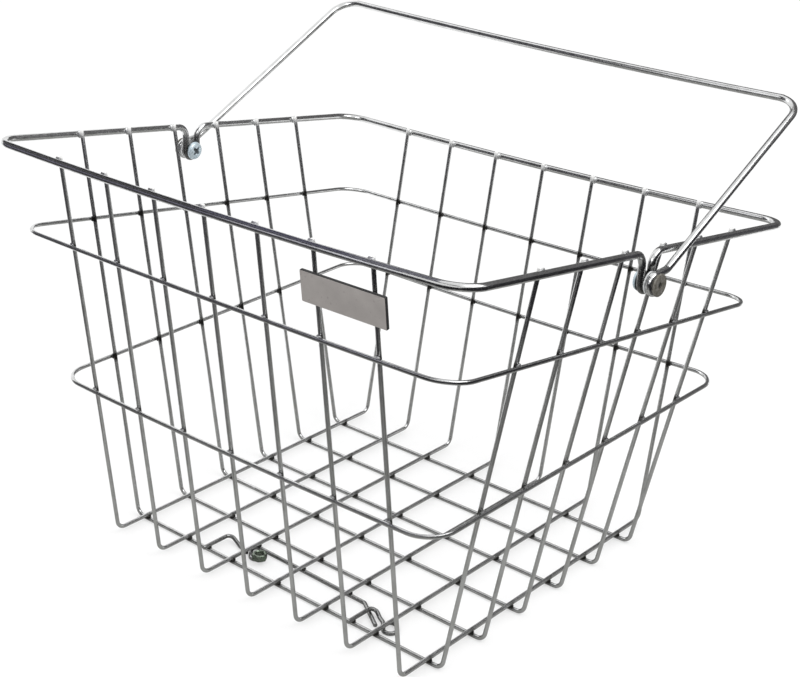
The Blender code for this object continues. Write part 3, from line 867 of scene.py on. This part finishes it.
def wire_piece(name, path, aside, diameter, node_name, spots=(), body="basket", closed=False,
               tip_highlights=False, tarnish=0.0, pivot_shade=()):
    """One wire as a smooth tube, with the marks on its plating, some of them painted light.

    The stain mark is the largest of the scorch and painted shade near its welds, its tarnish all over
    and, round each pivot, painted shade of the pivot shade's depth times e to the minus fourth power of
    the distance / the pivot shade's reach. With tips, the tip mark, a painted highlight on satin, is e
    to the minus fourth power of the distance to the nearer end / the tip's reach.
    """
    shape = bpy.context.scene.basket_shape
    ends = path[[0, -1]]
    radii = diameter / 2
    sides = HEAVY_SIDES if diameter == HEAVY_WIRE else THIN_SIDES
    path = spaced(path, closed)
    if not closed:
        path, radii = cut_ends(path, radii, shape.cut_edge)
    if callable(aside):
        aside = aside(path)
    points, faces, surface = tube(path, aside, radii, sides, closed)
    stain_and_shade = weld_share(points, spots, shape.scorch_and_shade_reach).clip(tarnish)
    for middle in pivot_shade:
        far = np.linalg.norm(points - middle, axis=1)
        stain_and_shade = np.maximum(stain_and_shade, PIVOT_SHADE_DEPTH * np.exp(-(far / PIVOT_SHADE_REACH) ** 4))
    marks = {"stain_and_shade": stain_and_shade}
    # Painted highlight, on satin, near both cut ends
    if tip_highlights:
        near = np.linalg.norm(points[:, None] - ends, axis=2).min(1)
        marks["tip_highlight"] = np.exp(-(near / shape.tip_highlight_reach) ** 4)
    make_piece(name, points, faces, "chrome", body, (node_name,), surface, marks)


class BASKET_OT_body_wires(Operator):
    """Draw the thirteen bent wires of the bottom and the walls."""

    bl_idname = "basket.body_wires"
    bl_label = "Body wires"

    def execute(self, context):
        spots = np.concatenate(scorch_and_shade_spots())
        for axis, kind, node_kind, places, corners, aside in (
                (0, "front_to_back_wire", "depth_wire", COLUMNS, depth_corners, X_AXIS),
                (1, "side_to_side_wire", "width_wire", ROWS, width_corners, Y_AXIS)):
            for index, place in enumerate(places, 1):
                path = bent_path(corners(place), [0.0, BEND_RADIUS, BEND_RADIUS, 0.0])
                near = spots[np.abs(spots[:, axis] - place) < NEAR]
                wire_piece(f"{kind}_{index}", path, aside, WIRE, f"{node_kind}_{index}", near,
                           tip_highlights=True)
        return {"FINISHED"}


class BASKET_OT_loops(Operator):
    """Draw the two rings and the heavy rim with its dips."""

    bl_idname = "basket.loops"
    bl_label = "Rings and rim"

    def execute(self, context):
        spots = scorch_and_shade_spots()[1]
        for name, (_, _, _, diameter, corner) in LOOPS.items():
            points, radii = loop_corners(name)
            path = bent_path(points, radii, closed=True)
            low, high = path[:, 2].min() - diameter, path[:, 2].max() + diameter
            near = spots[(spots[:, 2] > low) & (spots[:, 2] < high)]
            half_x, half_y = np.abs(path[:, :2]).max(0) - corner
            aside = partial(outward_from_box, half_x=half_x, half_y=half_y)
            # Painted shade on the rim round both pivots
            pivot_shade = [pivot_point(side * RIM_X) for side in (-1, 1)] if name == "rim" else []
            wire_piece(f"smooth_{name}", path, aside, diameter, name, near, closed=True, pivot_shade=pivot_shade)
        return {"FINISHED"}


class BASKET_OT_handle(Operator):
    """Draw the handle: an eye at each end, two arms and a grip that sags a little."""

    bl_idname = "basket.handle"
    bl_label = "Handle"

    def execute(self, context):
        ends = []
        for side in (-1, 1):
            pivot = pivot_point(side * HANDLE_X)
            lean = HANDLE_LEAN - side * HANDLE_TWIST
            along = np.array([0.0, math.cos(lean), math.sin(lean)])
            over = np.array([0.0, -math.sin(lean), math.cos(lean)])
            corner = pivot + along * HANDLE_REACH - side * HANDLE_TAPER * X_AXIS
            start = math.acos(SEAT / EYE_STEM)
            turns = np.linspace(start, EYE_END, 3 * ARC_POINTS)[:, None]
            arc = pivot + (along * np.cos(turns) + over * np.sin(turns)) * SEAT
            ends.append((corner, pivot + along * EYE_STEM, arc))
        (left_corner, left_stem, left_arc), (right_corner, right_stem, right_arc) = ends
        share = np.linspace(0.0, 1.0, 2 * ARC_POINTS)[1:-1, None]
        grip = left_corner + (right_corner - left_corner) * share
        grip[:, 2:] -= HANDLE_SAG * 4 * share * (1 - share)
        eye = [0.0] * len(left_arc)
        corners = np.concatenate([left_arc[::-1], [left_stem, left_corner], grip,
                                  [right_corner, right_stem], right_arc])
        radii = eye + [EYE_KINK, HANDLE_CORNER] + [0.0] * len(grip) + [HANDLE_CORNER, EYE_KINK] + eye
        path = bent_path(corners, radii)
        along = unit((left_corner + right_corner) / 2 - pivot_point(0.0))
        reach = HANDLE_REACH - HANDLE_CORNER
        half_x = HANDLE_X - HANDLE_TAPER - HANDLE_CORNER

        def aside(points):
            out = points[:, 0] - points[:, 0].clip(-half_x, half_x)
            far = ((points - pivot_point(0.0)) @ along - reach).clip(0.0)
            return out[:, None] * X_AXIS + far[:, None] * along

        wire_piece("swing_handle", path, aside, HEAVY_WIRE, "handle", body="handle")
        return {"FINISHED"}


def nuggets(welds, reach, height):
    """Welds as flattened balls: middle + sin(rise) * height * normal + cos(rise) * spread * sideways.

    The spread is reach * (1 - WELD_LOBES * cos(4 * angle)), so that each reaches further into the four
    corners between its two wires, times HEAVY_WELD at the rim. The rise runs from pole to pole. The
    stain, scorch with painted shade, is (1 - sin(rise)) / 2, darkest at the inner pole, and none at the
    rim.
    """
    angle = full_turn(WELD_SIDES)
    rise = (np.linspace(-1.0, 1.0, WELD_RINGS + 2)[1:-1] * math.pi / 2)[:, None, None]
    middle, normal, first, heavy = (np.array(part)[:, None, None] for part in zip(*welds))
    normal, first, heavy = unit(normal), unit(first), heavy[..., None]
    spread = 1 - WELD_LOBES * np.cos(4 * angle[:, None])
    spread = reach * np.where(heavy, HEAVY_WELD, 1.0) * spread
    rings = (middle + np.sin(rise) * height * normal
             + np.cos(rise) * spread * spokes(angle, first, np.cross(normal, first)))
    count = len(welds)
    poles = np.concatenate([middle - height * normal, middle + height * normal], 1)
    points = np.concatenate([rings.reshape(count, -1, 3), poles[:, :, 0]], 1)
    starts = np.arange(count)[:, None, None] * points.shape[1]
    faces = [(group + starts).reshape(-1, group.shape[1]) for group in closed_grid(rings[0])[1]]
    inner = np.broadcast_to((0.5 - 0.5 * np.sin(rise)) * (1 - heavy), rings.shape[:3] + (1,))
    ends = np.concatenate([1 - heavy, np.zeros_like(heavy)], 1)
    stain_and_shade = np.concatenate([inner.reshape(count, -1), ends.reshape(count, 2)], 1)
    return points.reshape(-1, 3), faces, stain_and_shade.ravel()


def weld_piece(name, welds, reach, height, burnt_and_shaded=True):
    """Welds as one piece, dark all over with scorch and painted shade, or by the nuggets' own rule."""
    points, faces, stain_and_shade = nuggets(welds, reach, height)
    make_piece(name, points, faces, "weld", marks={"stain_and_shade": np.ones(len(stain_and_shade)) if burnt_and_shaded else stain_and_shade})


class BASKET_OT_welds(Operator):
    """Fill the gap at every crossing with weld metal."""

    bl_idname = "basket.welds"
    bl_label = "Welds"

    def execute(self, context):
        shape = context.scene.basket_shape
        welds = crossings()
        # The bottom's welds are dark all over: scorch and painted shade
        weld_piece("bottom_welds", welds[:FLOOR_WELDS], shape.weld_reach, shape.weld_height)
        weld_piece("wall_welds", welds[FLOOR_WELDS:], shape.weld_reach, shape.weld_height,
                   burnt_and_shaded=False)
        return {"FINISHED"}


def turned(profile, place, axis, limit=math.inf):
    """Ring round an axis: place + height * axis + radius * (cos(angle) * side + sin(angle) * up).

    The radius is the profile's, or the limit at its angle where that is less.
    """
    profile = np.asarray(profile, float)
    side = unit(np.cross(axis, Z_AXIS)) if axis[2] == 0.0 else X_AXIS
    ways = spokes(full_turn(RING_SIDES), side, np.cross(axis, side))
    radius = np.minimum(profile[:, :1], limit)
    rings = place + profile[:, 1, None, None] * axis + radius[..., None] * ways
    return rings.reshape(-1, 3), [grid_faces(len(profile), RING_SIDES, wrap_rows=True)]


def rounded(start, end, bulge_in, steps=ROUND_POINTS):
    """Quarter round from one profile point to another: one part moves by sine, one by cosine."""
    turn = np.linspace(0.0, math.pi / 2, steps)
    first, second = np.sin(turn), 1 - np.cos(turn)
    if not bulge_in:
        first, second = second, first
    return [(start[0] + (end[0] - start[0]) * a, start[1] + (end[1] - start[1]) * b)
            for a, b in zip(first, second)]


def screw_rings(place, axis):
    """Rings of a pan head screw from the crown of its head to its end, and how much painted shade each
    point gets.

    The crown's height is HEAD_HEIGHT * (1 - (radius / head)^4)^0.4. The cross recess takes a depth
    off it, the larger of two bars at 45 degrees, which are widest in the middle, with steep sides and
    a floor that rises towards their ends. The shank's radius waves with the cosine of its height in
    pitches less the angle. The recess, the underside of the head and the far end get painted shade.
    """
    shape = bpy.context.scene.basket_shape
    half, width, deep = shape.recess_length / 2, shape.recess_width, shape.recess_depth
    head = HEAD_DIAMETER / 2
    angles = full_turn(HEAD_SIDES)
    reach = np.linspace(0.0, 1.0, HEAD_RINGS + 1)[1:] ** RING_CROWD
    crown = HEAD_HEIGHT * (1 - reach ** 4) ** 0.4
    end = NUT_X + NUT_THICKNESS - 2 * SCREW_INSET - HEAD_X
    run = np.linspace(0.0002, end - 0.0003, int(end / THREAD_PITCH * THREAD_RINGS))
    radius = np.concatenate([head * reach, [head, head * 0.99, SCREW_DIAMETER * NECK_SHARE],
                             np.full(len(run), SCREW_DIAMETER / 2), [SCREW_DIAMETER * POINT_SHARE]])
    height = np.concatenate([-np.maximum(crown, HEAD_SIDE), [-HEAD_FOOT, 0.0, 0.0], run, [end]])
    grid_radius = np.tile(radius[:, None], HEAD_SIDES)
    wave = np.cos(math.tau * run[:, None] / THREAD_PITCH - angles)
    fade = np.clip((run[:, None] - THREAD_START) / THREAD_RUNOUT, 0.0, 1.0)
    grid_radius[-len(run) - 1:-1] += (wave - 1.0) * THREAD_WAVE * fade
    across = grid_radius * np.cos(angles - math.pi / 4)
    along = grid_radius * np.sin(angles - math.pi / 4)
    depth = np.zeros_like(grid_radius)
    for far, near in ((across, along), (along, across)):
        share = np.clip(1.0 - np.abs(far) / half, 0.0, 1.0)
        wing = (width + RECESS_WALL) / 2 + RECESS_FLARE * share
        walls = np.clip((wing - np.abs(near)) / RECESS_WALL, 0.0, 1.0)
        ends = np.clip((half - np.abs(far)) / RECESS_END, 0.0, 1.0)
        floor = deep * (RECESS_FLOOR + (1.0 - RECESS_FLOOR) * share)
        depth = np.maximum(depth, walls * ends * floor)
    depth[HEAD_RINGS:] = 0.0
    # Painted shade: in the recess, under the head and at the far end
    stain_and_shade = RECESS_SHADE * np.clip(depth / deep * RECESS_DARK, 0.0, 1.0)
    stain_and_shade[HEAD_RINGS:HEAD_RINGS + 3] = UNDER_HEAD_SHADE
    stain_and_shade[-2:] = 1.0
    ways = spokes(angles, Y_AXIS, np.cross(axis, Y_AXIS))
    rings = place + (height[:, None] + depth)[..., None] * axis + grid_radius[..., None] * ways
    return rings, np.concatenate([stain_and_shade.ravel(), stain_and_shade[:1].mean(1), stain_and_shade[-1:].mean(1)])


class BASKET_OT_pivots(Operator):
    """Draw the screw, washer and barrel nut of both pivots."""

    bl_idname = "basket.pivots"
    bl_label = "Pivot hardware"

    def execute(self, context):
        fine, edge = FINE_EDGE, WASHER_EDGE
        outer, bore, thick = WASHER_DIAMETER / 2, BARREL_DIAMETER / 2 + GAP, WASHER_THICKNESS
        washer = ([(bore, thick - fine), (bore + fine, thick)]
                  + rounded((outer - edge, thick), (outer, thick - edge), True)
                  + rounded((outer, edge), (outer - edge, 0.0), False)
                  + [(bore + fine, 0.0), (bore, fine)])
        head, barrel, bore = NUT_DIAMETER / 2, BARREL_DIAMETER / 2, SCREW_DIAMETER / 2 + GAP
        foot, thick, edge = HEAD_X + GAP - NUT_X, NUT_THICKNESS, NUT_EDGE
        nut = ([(bore, thick - 3 * fine), (bore + 3 * fine, thick - fine / 2), (bore + edge, thick)]
               + rounded((head - edge, thick), (head, thick - edge), True)
               + rounded((head, 3 * fine), (head - 3 * fine, 0.0), False, 4)
               + [(barrel + 2 * fine, 0.0), (barrel, -2 * fine), (barrel, foot + 2 * fine),
                  (barrel - 2 * fine, foot), (bore, foot)])
        for side, word in ((-1, "left"), (1, "right")):
            axis = side * X_AXIS
            rings, stain_and_shade = screw_rings(pivot_point(side * HEAD_X), axis)
            make_piece(f"cross_screw_{word}", *closed_grid(rings), "blue_zinc",
                       replaces=(f"pivot_screw_{word}",), marks={"stain_and_shade": stain_and_shade})
            make_piece(f"plain_washer_{word}", *turned(washer, pivot_point(side * WASHER_X), axis),
                       "bright_zinc", replaces=(f"pivot_washer_{word}",))
            make_piece(f"barrel_nut_{word}", *turned(nut, pivot_point(side * NUT_X), axis),
                       "dark_zinc", replaces=(f"pivot_nut_{word}",))
        return {"FINISHED"}


def slab(place, right, up, outward, length, height, low, high, corner, edge):
    """Slab with round corners, whose outline is drawn in by a quarter round towards each face.

    A ring at inset i has half sizes less i and corner radius less i, and the faces close on a line of
    rings that shrink to the middle.
    """
    quarter = np.linspace(0.0, math.pi / 2, ROUND_POINTS)
    angles = np.concatenate([quarter + math.pi / 2 * turn for turn in range(4)])
    signs = np.repeat([[1, 1], [-1, 1], [-1, -1], [1, -1]], len(quarter), axis=0)
    centres = signs * [length / 2 - corner, height / 2 - corner]
    ways = np.stack([np.cos(angles), np.sin(angles)], 1)
    outline = centres + ways * corner
    turn = np.linspace(0.0, math.pi / 2, EDGE_POINTS)
    insets = np.concatenate([edge * (1 - np.sin(turn)), edge * (1 - np.cos(turn))])
    levels = np.concatenate([low + edge * (1 - np.cos(turn)), high - edge * (1 - np.sin(turn))])
    flat = outline[None] - ways[None] * insets[:, None, None]
    shrink = np.array([0.5, 0.1])[:, None, None]
    flat = np.concatenate([flat[:1] * shrink[::-1], flat, flat[-1:] * shrink])
    levels = np.concatenate([[low, low], levels, [high, high]])
    return closed_grid(place + flat[..., :1] * right + flat[..., 1:] * up
                       + levels[:, None, None] * outward)


class BASKET_OT_name_plate(Operator):
    """Draw the bare name plate: a dark body with a satin sheet on its front."""

    bl_idname = "basket.name_plate"
    bl_label = "Name plate"

    def execute(self, context):
        x = LAST_X - PITCH / 2
        top = np.array([x, -TOP_Y, level("rim", x, -TOP_Y)])
        foot = np.array([x, wall_y(x, MESH_MIDDLE, -1), MESH_MIDDLE])
        up = unit(top - foot)
        outward = np.cross(X_AXIS, up)
        to_ring = (top[2] - level("upper_ring", x, -TOP_Y)) / up[2]
        centre = top - up * (to_ring / 2 + PLATE_DROP) + PLATE_SHIFT * X_AXIS
        back = WIRE / 2 + GAP
        front = back + PLATE_THICKNESS
        for name, finish, margin, low, high, edge in (
                ("plate_body", "plate_body", 0.0, back, front - SHEET_THICKNESS / 2,
                 context.scene.basket_shape.plate_edge),
                ("plate_sheet", "plate_face", SHEET_MARGIN, front - 2 * SHEET_THICKNESS, front,
                 SHEET_EDGE)):
            size = (PLATE_LENGTH - margin, PLATE_HEIGHT - margin)
            points, faces = slab(centre, X_AXIS, up, outward, *size, low, high, PLATE_CORNER, edge)
            make_piece(name, points, faces, finish, replaces=("name_plate",))
        welds = []
        for column in COLUMNS[-2:]:
            for rise in (-PLATE_WELD_RISE, PLATE_WELD_RISE):
                spot = centre + up * PLATE_HEIGHT * rise + outward * (WIRE / 2 + GAP / 2)
                spot[0] = column
                welds.append((spot, outward, up, 0))
        weld_piece("plate_welds", welds, *PLATE_WELD, burnt_and_shaded=False)
        return {"FINISHED"}


class BASKET_OT_bracket(Operator):
    """Draw the bracket's wires, their welds and the nut on the left eye."""

    bl_idname = "basket.bracket"
    bl_label = "Bracket wires"

    def execute(self, context):
        *paths, eye_end, stop = bracket_paths()
        for name, path in zip(("cross_wire", "leg_left", "leg_right"), paths):
            wire_piece(f"bracket_{name}", path, Z_AXIS, WIRE, f"mount_{name}",
                       tarnish=BRACKET_TARNISH)
        along, across = eye_frame()
        place = eye_end + along * MOUNT_NUT_REACH + across * MOUNT_NUT_SHIFT
        place[2] = LOW_LAYER + WIRE / 2 + GAP
        bore, flat_to, edge = EYE_WIDTH / 2, MOUNT_NUT_WIDTH / 2, MOUNT_NUT_EDGE
        hexagon = flat_to / np.cos(full_turn(RING_SIDES) % (math.pi / 3) - math.pi / 6)
        half = [(bore, edge), (bore + edge, 0.0), (flat_to - edge / 2, 0.0),
                (flat_to + edge, 0.6 * edge), (2 * flat_to, 1.2 * edge)]
        profile = [(radius, MOUNT_NUT_HEIGHT - z) for radius, z in half] + half[::-1]
        make_piece("bracket_nut", *turned(profile, place, Z_AXIS, hexagon), "green_zinc",
                   replaces=("mount_nut",))
        spots = [cross_point(x) for x in COLUMNS if -CROSS_LEFT - NEAR < x < CROSS_RIGHT]
        spots += [(side * LEG_SPREAD, -LAST_Y, 0.0) for side in (-1, 1)]
        welds = [((x, y, MESH_MIDDLE), Z_AXIS, Y_AXIS, 0) for x, y, _ in spots]
        shape = context.scene.basket_shape
        # These welds are dark all over: scorch and painted shade
        weld_piece("bracket_welds", welds, shape.weld_reach, shape.weld_height)
        weld_piece("stop_weld", [(stop + across * GAP / 2, across, along, 0)], *STOP_WELD)
        return {"FINISHED"}


def lamp(name, place, target, width, height, power):
    """A soft rectangular lamp at a place, aimed at a target."""
    data = bpy.data.lights.new(name, "AREA")
    data.shape = "RECTANGLE"
    data.size, data.size_y = width, height
    data.energy = power
    light = bpy.data.objects.new(name, data)
    bpy.context.scene.collection.objects.link(light)
    back = unit(np.subtract(place, target))
    side = unit(np.cross(Z_AXIS, back))
    turn = Matrix(np.stack([side, np.cross(back, side), back], 1))
    light.matrix_world = Matrix.Translation(place) @ turn.to_4x4()


def upright(start, end, low, high):
    """Corners of an upright panel from its ends in plan and its lowest and highest level."""
    return [(*start, low), (*end, low), (*end, high), (*start, high)]


def flat(x_range, y_range, z):
    """Corners of a level panel."""
    (x0, x1), (y0, y1) = x_range, y_range
    return [(x0, y0, z), (x1, y0, z), (x1, y1, z), (x0, y1, z)]


def front_panel(x_range, low, high):
    """Corners of a narrow upright panel just inside the front card."""
    return upright((x_range[0], BAND_Y), (x_range[1], BAND_Y), low, high)


# Cards round the basket: corners, and the tones near the floor and at the height of the rim
BAND_Y = -0.2495
FOOT_TONE = (0.28, 0.28, 0.27)
TOP_TONE = (0.050, 0.048, 0.056)
BLACK_TONE = (0.014, 0.013, 0.017)
CARDS = {
    "dark_front": (upright((-0.16, -0.25), (0.27, -0.25), 0.0, 0.395), FOOT_TONE, TOP_TONE),
    "dark_right_back": (upright((0.27, 0.06), (0.27, 0.45), 0.0, 0.325), FOOT_TONE, TOP_TONE),
    "dark_over_rim": (flat((-0.45, -0.05), (-0.25, -0.13), 0.355), FOOT_TONE, TOP_TONE),
    "dark_mat": (flat((-0.27, 0.45), (-0.25, 0.48), 0.0003), FOOT_TONE, TOP_TONE),
    "grey_right_front": (upright((0.27, -0.26), (0.27, 0.06), 0.0, 0.325),
                         (0.24, 0.24, 0.23), (0.032, 0.031, 0.036)),
    "dark_front_left": (upright((-0.80, -0.25), (-0.16, -0.25), 0.0, 1.30),
                        (0.15, 0.15, 0.145), TOP_TONE),
    "dark_back_right": (upright((-0.50, 0.55), (0.05, 0.55), 0.0, 1.05)
                        + upright((0.05, 0.55), (0.35, 0.55), 0.16, 1.05)
                        + upright((0.35, 0.55), (0.85, 0.55), 0.0, 1.05),
                        FOOT_TONE, (0.11, 0.108, 0.11)),
}

# Cards of one tone, which shape the bands along the front of the rim and its right corner
BANDS = {
    "violet_over_rim": (flat((-0.05, 0.08), (-0.25, -0.13), 0.355), (0.12, 0.115, 0.175)),
    "pale_over_rim": (flat((0.08, 0.16), (-0.25, -0.13), 0.355), (0.24, 0.235, 0.28)),
    "violet_band": (front_panel((-0.45, -0.03), 0.298, 0.322), (0.20, 0.19, 0.26)),
    "pale_band": (front_panel((-0.03, 0.05), 0.298, 0.326), (0.64, 0.63, 0.70)),
    "light_band": (front_panel((0.05, 0.115), 0.297, 0.331), (0.92, 0.92, 0.98)),
    "bright_band": (front_panel((0.115, 0.27), 0.302, 0.350), (1.0, 1.0, 1.0)),
    "black_under_corner": (front_panel((0.115, 0.27), 0.175, 0.302), BLACK_TONE),
    "black_right_corner": (upright((0.2695, -0.25), (0.2695, 0.05), 0.19, 0.302), BLACK_TONE),
}


def stage_panel(name, corners):
    """Panels of the studio, four corners each, with their tree, shader and places."""
    mesh = bpy.data.meshes.new(name)
    mesh.from_pydata(corners, [], np.arange(len(corners)).reshape(-1, 4).tolist())
    panel = bpy.data.objects.new(name, mesh)
    bpy.context.scene.collection.objects.link(panel)
    tree, shader, place = new_material(name)
    mesh.materials.append(bpy.data.materials[name])
    return panel, tree, shader, place["Object"]


def studio_card(name, corners, low, high):
    """A card that only reflections see, which gives the bright wires a dark core or a light band.

    Its colour runs in line with height, from low at 8 cm to high at 32 cm.
    """
    card, tree, shader, place = stage_panel(name, corners)
    card.visible_camera = False
    card.visible_diffuse = False
    card.visible_shadow = False
    cloth = grain(tree, place, 14.0, 2.0)
    height = node(tree, "ShaderNodeSeparateXYZ", {0: place}).outputs["Z"]
    rise = ramp(tree, sum_of(tree, height, cloth, 0.08), 0.08, 0.32)
    shade(tree, shader, blend_colors(tree, rise, low, high), 0.9)


def seen_share(tree):
    """1 for camera, glossy and transmission rays, and 0 for the light that falls on things."""
    rays = node(tree, "ShaderNodeLightPath").outputs
    mirrored = math_of(tree, "MAXIMUM", rays["Is Camera Ray"], rays["Is Glossy Ray"])
    return math_of(tree, "MAXIMUM", mirrored, rays["Is Transmission Ray"])


def light_world(scene, strength):
    """Even white light from all round, whose strength only counts where it falls on things."""
    world = scene.world or bpy.data.worlds.new("studio_world")
    scene.world = world
    world.use_nodes = True
    tree = world.node_tree
    tree.nodes.clear()
    level_seen = ramp(tree, seen_share(tree), 0.0, 1.0, strength, 1.0)
    background = node(tree, "ShaderNodeBackground", {
        "Color": (1.0, 1.0, 1.0, 1.0), "Strength": level_seen})
    node(tree, "ShaderNodeOutputWorld", {"Surface": background.outputs[0]})


def add_floor(size):
    """Pale floor, with a glow that only camera and reflections see and that grows with distance."""
    _, tree, shader, place = stage_panel("studio_floor", flat((-size, size), (-size, size), 0.0))
    paper = ramp(tree, grain(tree, place, 40.0, 3.0), 0.3, 0.7)
    shade(tree, shader, blend_colors(tree, paper, (0.50, 0.50, 0.50), (0.51, 0.51, 0.51)), 0.9)
    away = node(tree, "ShaderNodeVectorMath", {0: place}, operation="LENGTH").outputs["Value"]
    glow = math_of(tree, "MULTIPLY", seen_share(tree), ramp(tree, away, 0.5, 3.5, 0.41, 0.50))
    for key, value in (("Specular IOR Level", 0.0), ("Emission Color", (1.0, 1.0, 1.0, 1.0)),
                       ("Emission Strength", glow)):
        feed(tree, shader.inputs[key], value)


def add_camera(scene, studio):
    """The photograph's camera."""
    data = bpy.data.cameras.new("photo_camera")
    data.sensor_width = SENSOR_WIDTH
    data.lens = studio.lens
    data.shift_x, data.shift_y = PHOTO_SHIFT
    camera = bpy.data.objects.new("photo_camera", data)
    camera.location = studio.camera_place
    camera.rotation_euler = studio.camera_turn
    scene.collection.objects.link(camera)
    scene.camera = camera


class BASKET_OT_studio(Operator):
    """Set up the pale floor, the soft light and the photograph's camera."""

    bl_idname = "basket.studio"
    bl_label = "Studio"

    def execute(self, context):
        scene = context.scene
        studio = scene.basket_studio
        light_world(scene, studio.world_level)
        add_floor(studio.floor_size)
        lamp("key_lamp", (1.45, 0.38, 1.95), (0.0, 0.0, 0.25), 1.8, 1.2, studio.key_power)
        lamp("left_lamp", (-1.8, -0.6, 1.2), (0.0, 0.0, 0.15), 0.9, 1.4, studio.fill_power / 3)
        lamp("front_lamp", (0.2, -2.0, 1.6), (0.0, 0.0, 0.15), 1.4, 0.7, studio.fill_power)
        for name, (corners, low, high) in CARDS.items():
            studio_card(name, corners, low, high)
        for name, (corners, tone) in BANDS.items():
            studio_card(name, corners, tone, tone)
        add_camera(scene, studio)
        scene.view_settings.view_transform = "Standard"
        return {"FINISHED"}


class BASKET_PT_panel(Panel):
    """The basket's steps and settings."""

    bl_idname = "BASKET_PT_panel"
    bl_label = "Wire bicycle basket"
    bl_space_type = "VIEW_3D"
    bl_region_type = "UI"
    bl_category = "Basket"

    def draw(self, context):
        for operator in OPERATORS:
            self.layout.operator(operator.bl_idname)
        for name in GROUPS:
            group = getattr(context.scene, name)
            box = self.layout.box()
            for key in group.__annotations__:
                box.prop(group, key)


GROUPS = {"basket_shape": BasketShape, "basket_finish": BasketFinish, "basket_studio": BasketStudio}
OPERATORS = (BASKET_OT_body_wires, BASKET_OT_loops, BASKET_OT_handle, BASKET_OT_welds,
             BASKET_OT_pivots, BASKET_OT_name_plate, BASKET_OT_bracket, BASKET_OT_studio)
CLASSES = (*GROUPS.values(), *OPERATORS, BASKET_PT_panel)


def register():
    """Register the classes and give every scene its settings."""
    for kind in CLASSES:
        bpy.utils.register_class(kind)
    for name, group in GROUPS.items():
        setattr(bpy.types.Scene, name, PointerProperty(type=group))


def unregister():
    """Take the settings and the classes away again."""
    for name in GROUPS:
        delattr(bpy.types.Scene, name)
    for kind in reversed(CLASSES):
        bpy.utils.unregister_class(kind)


def main():
    """Build every piece in order."""
    register()
    bpy.ops.basket.body_wires()
    bpy.ops.basket.loops()
    bpy.ops.basket.handle()
    bpy.ops.basket.welds()
    bpy.ops.basket.pivots()
    bpy.ops.basket.name_plate()
    bpy.ops.basket.bracket()
    bpy.ops.basket.studio()


if __name__ == "__main__":
    main()
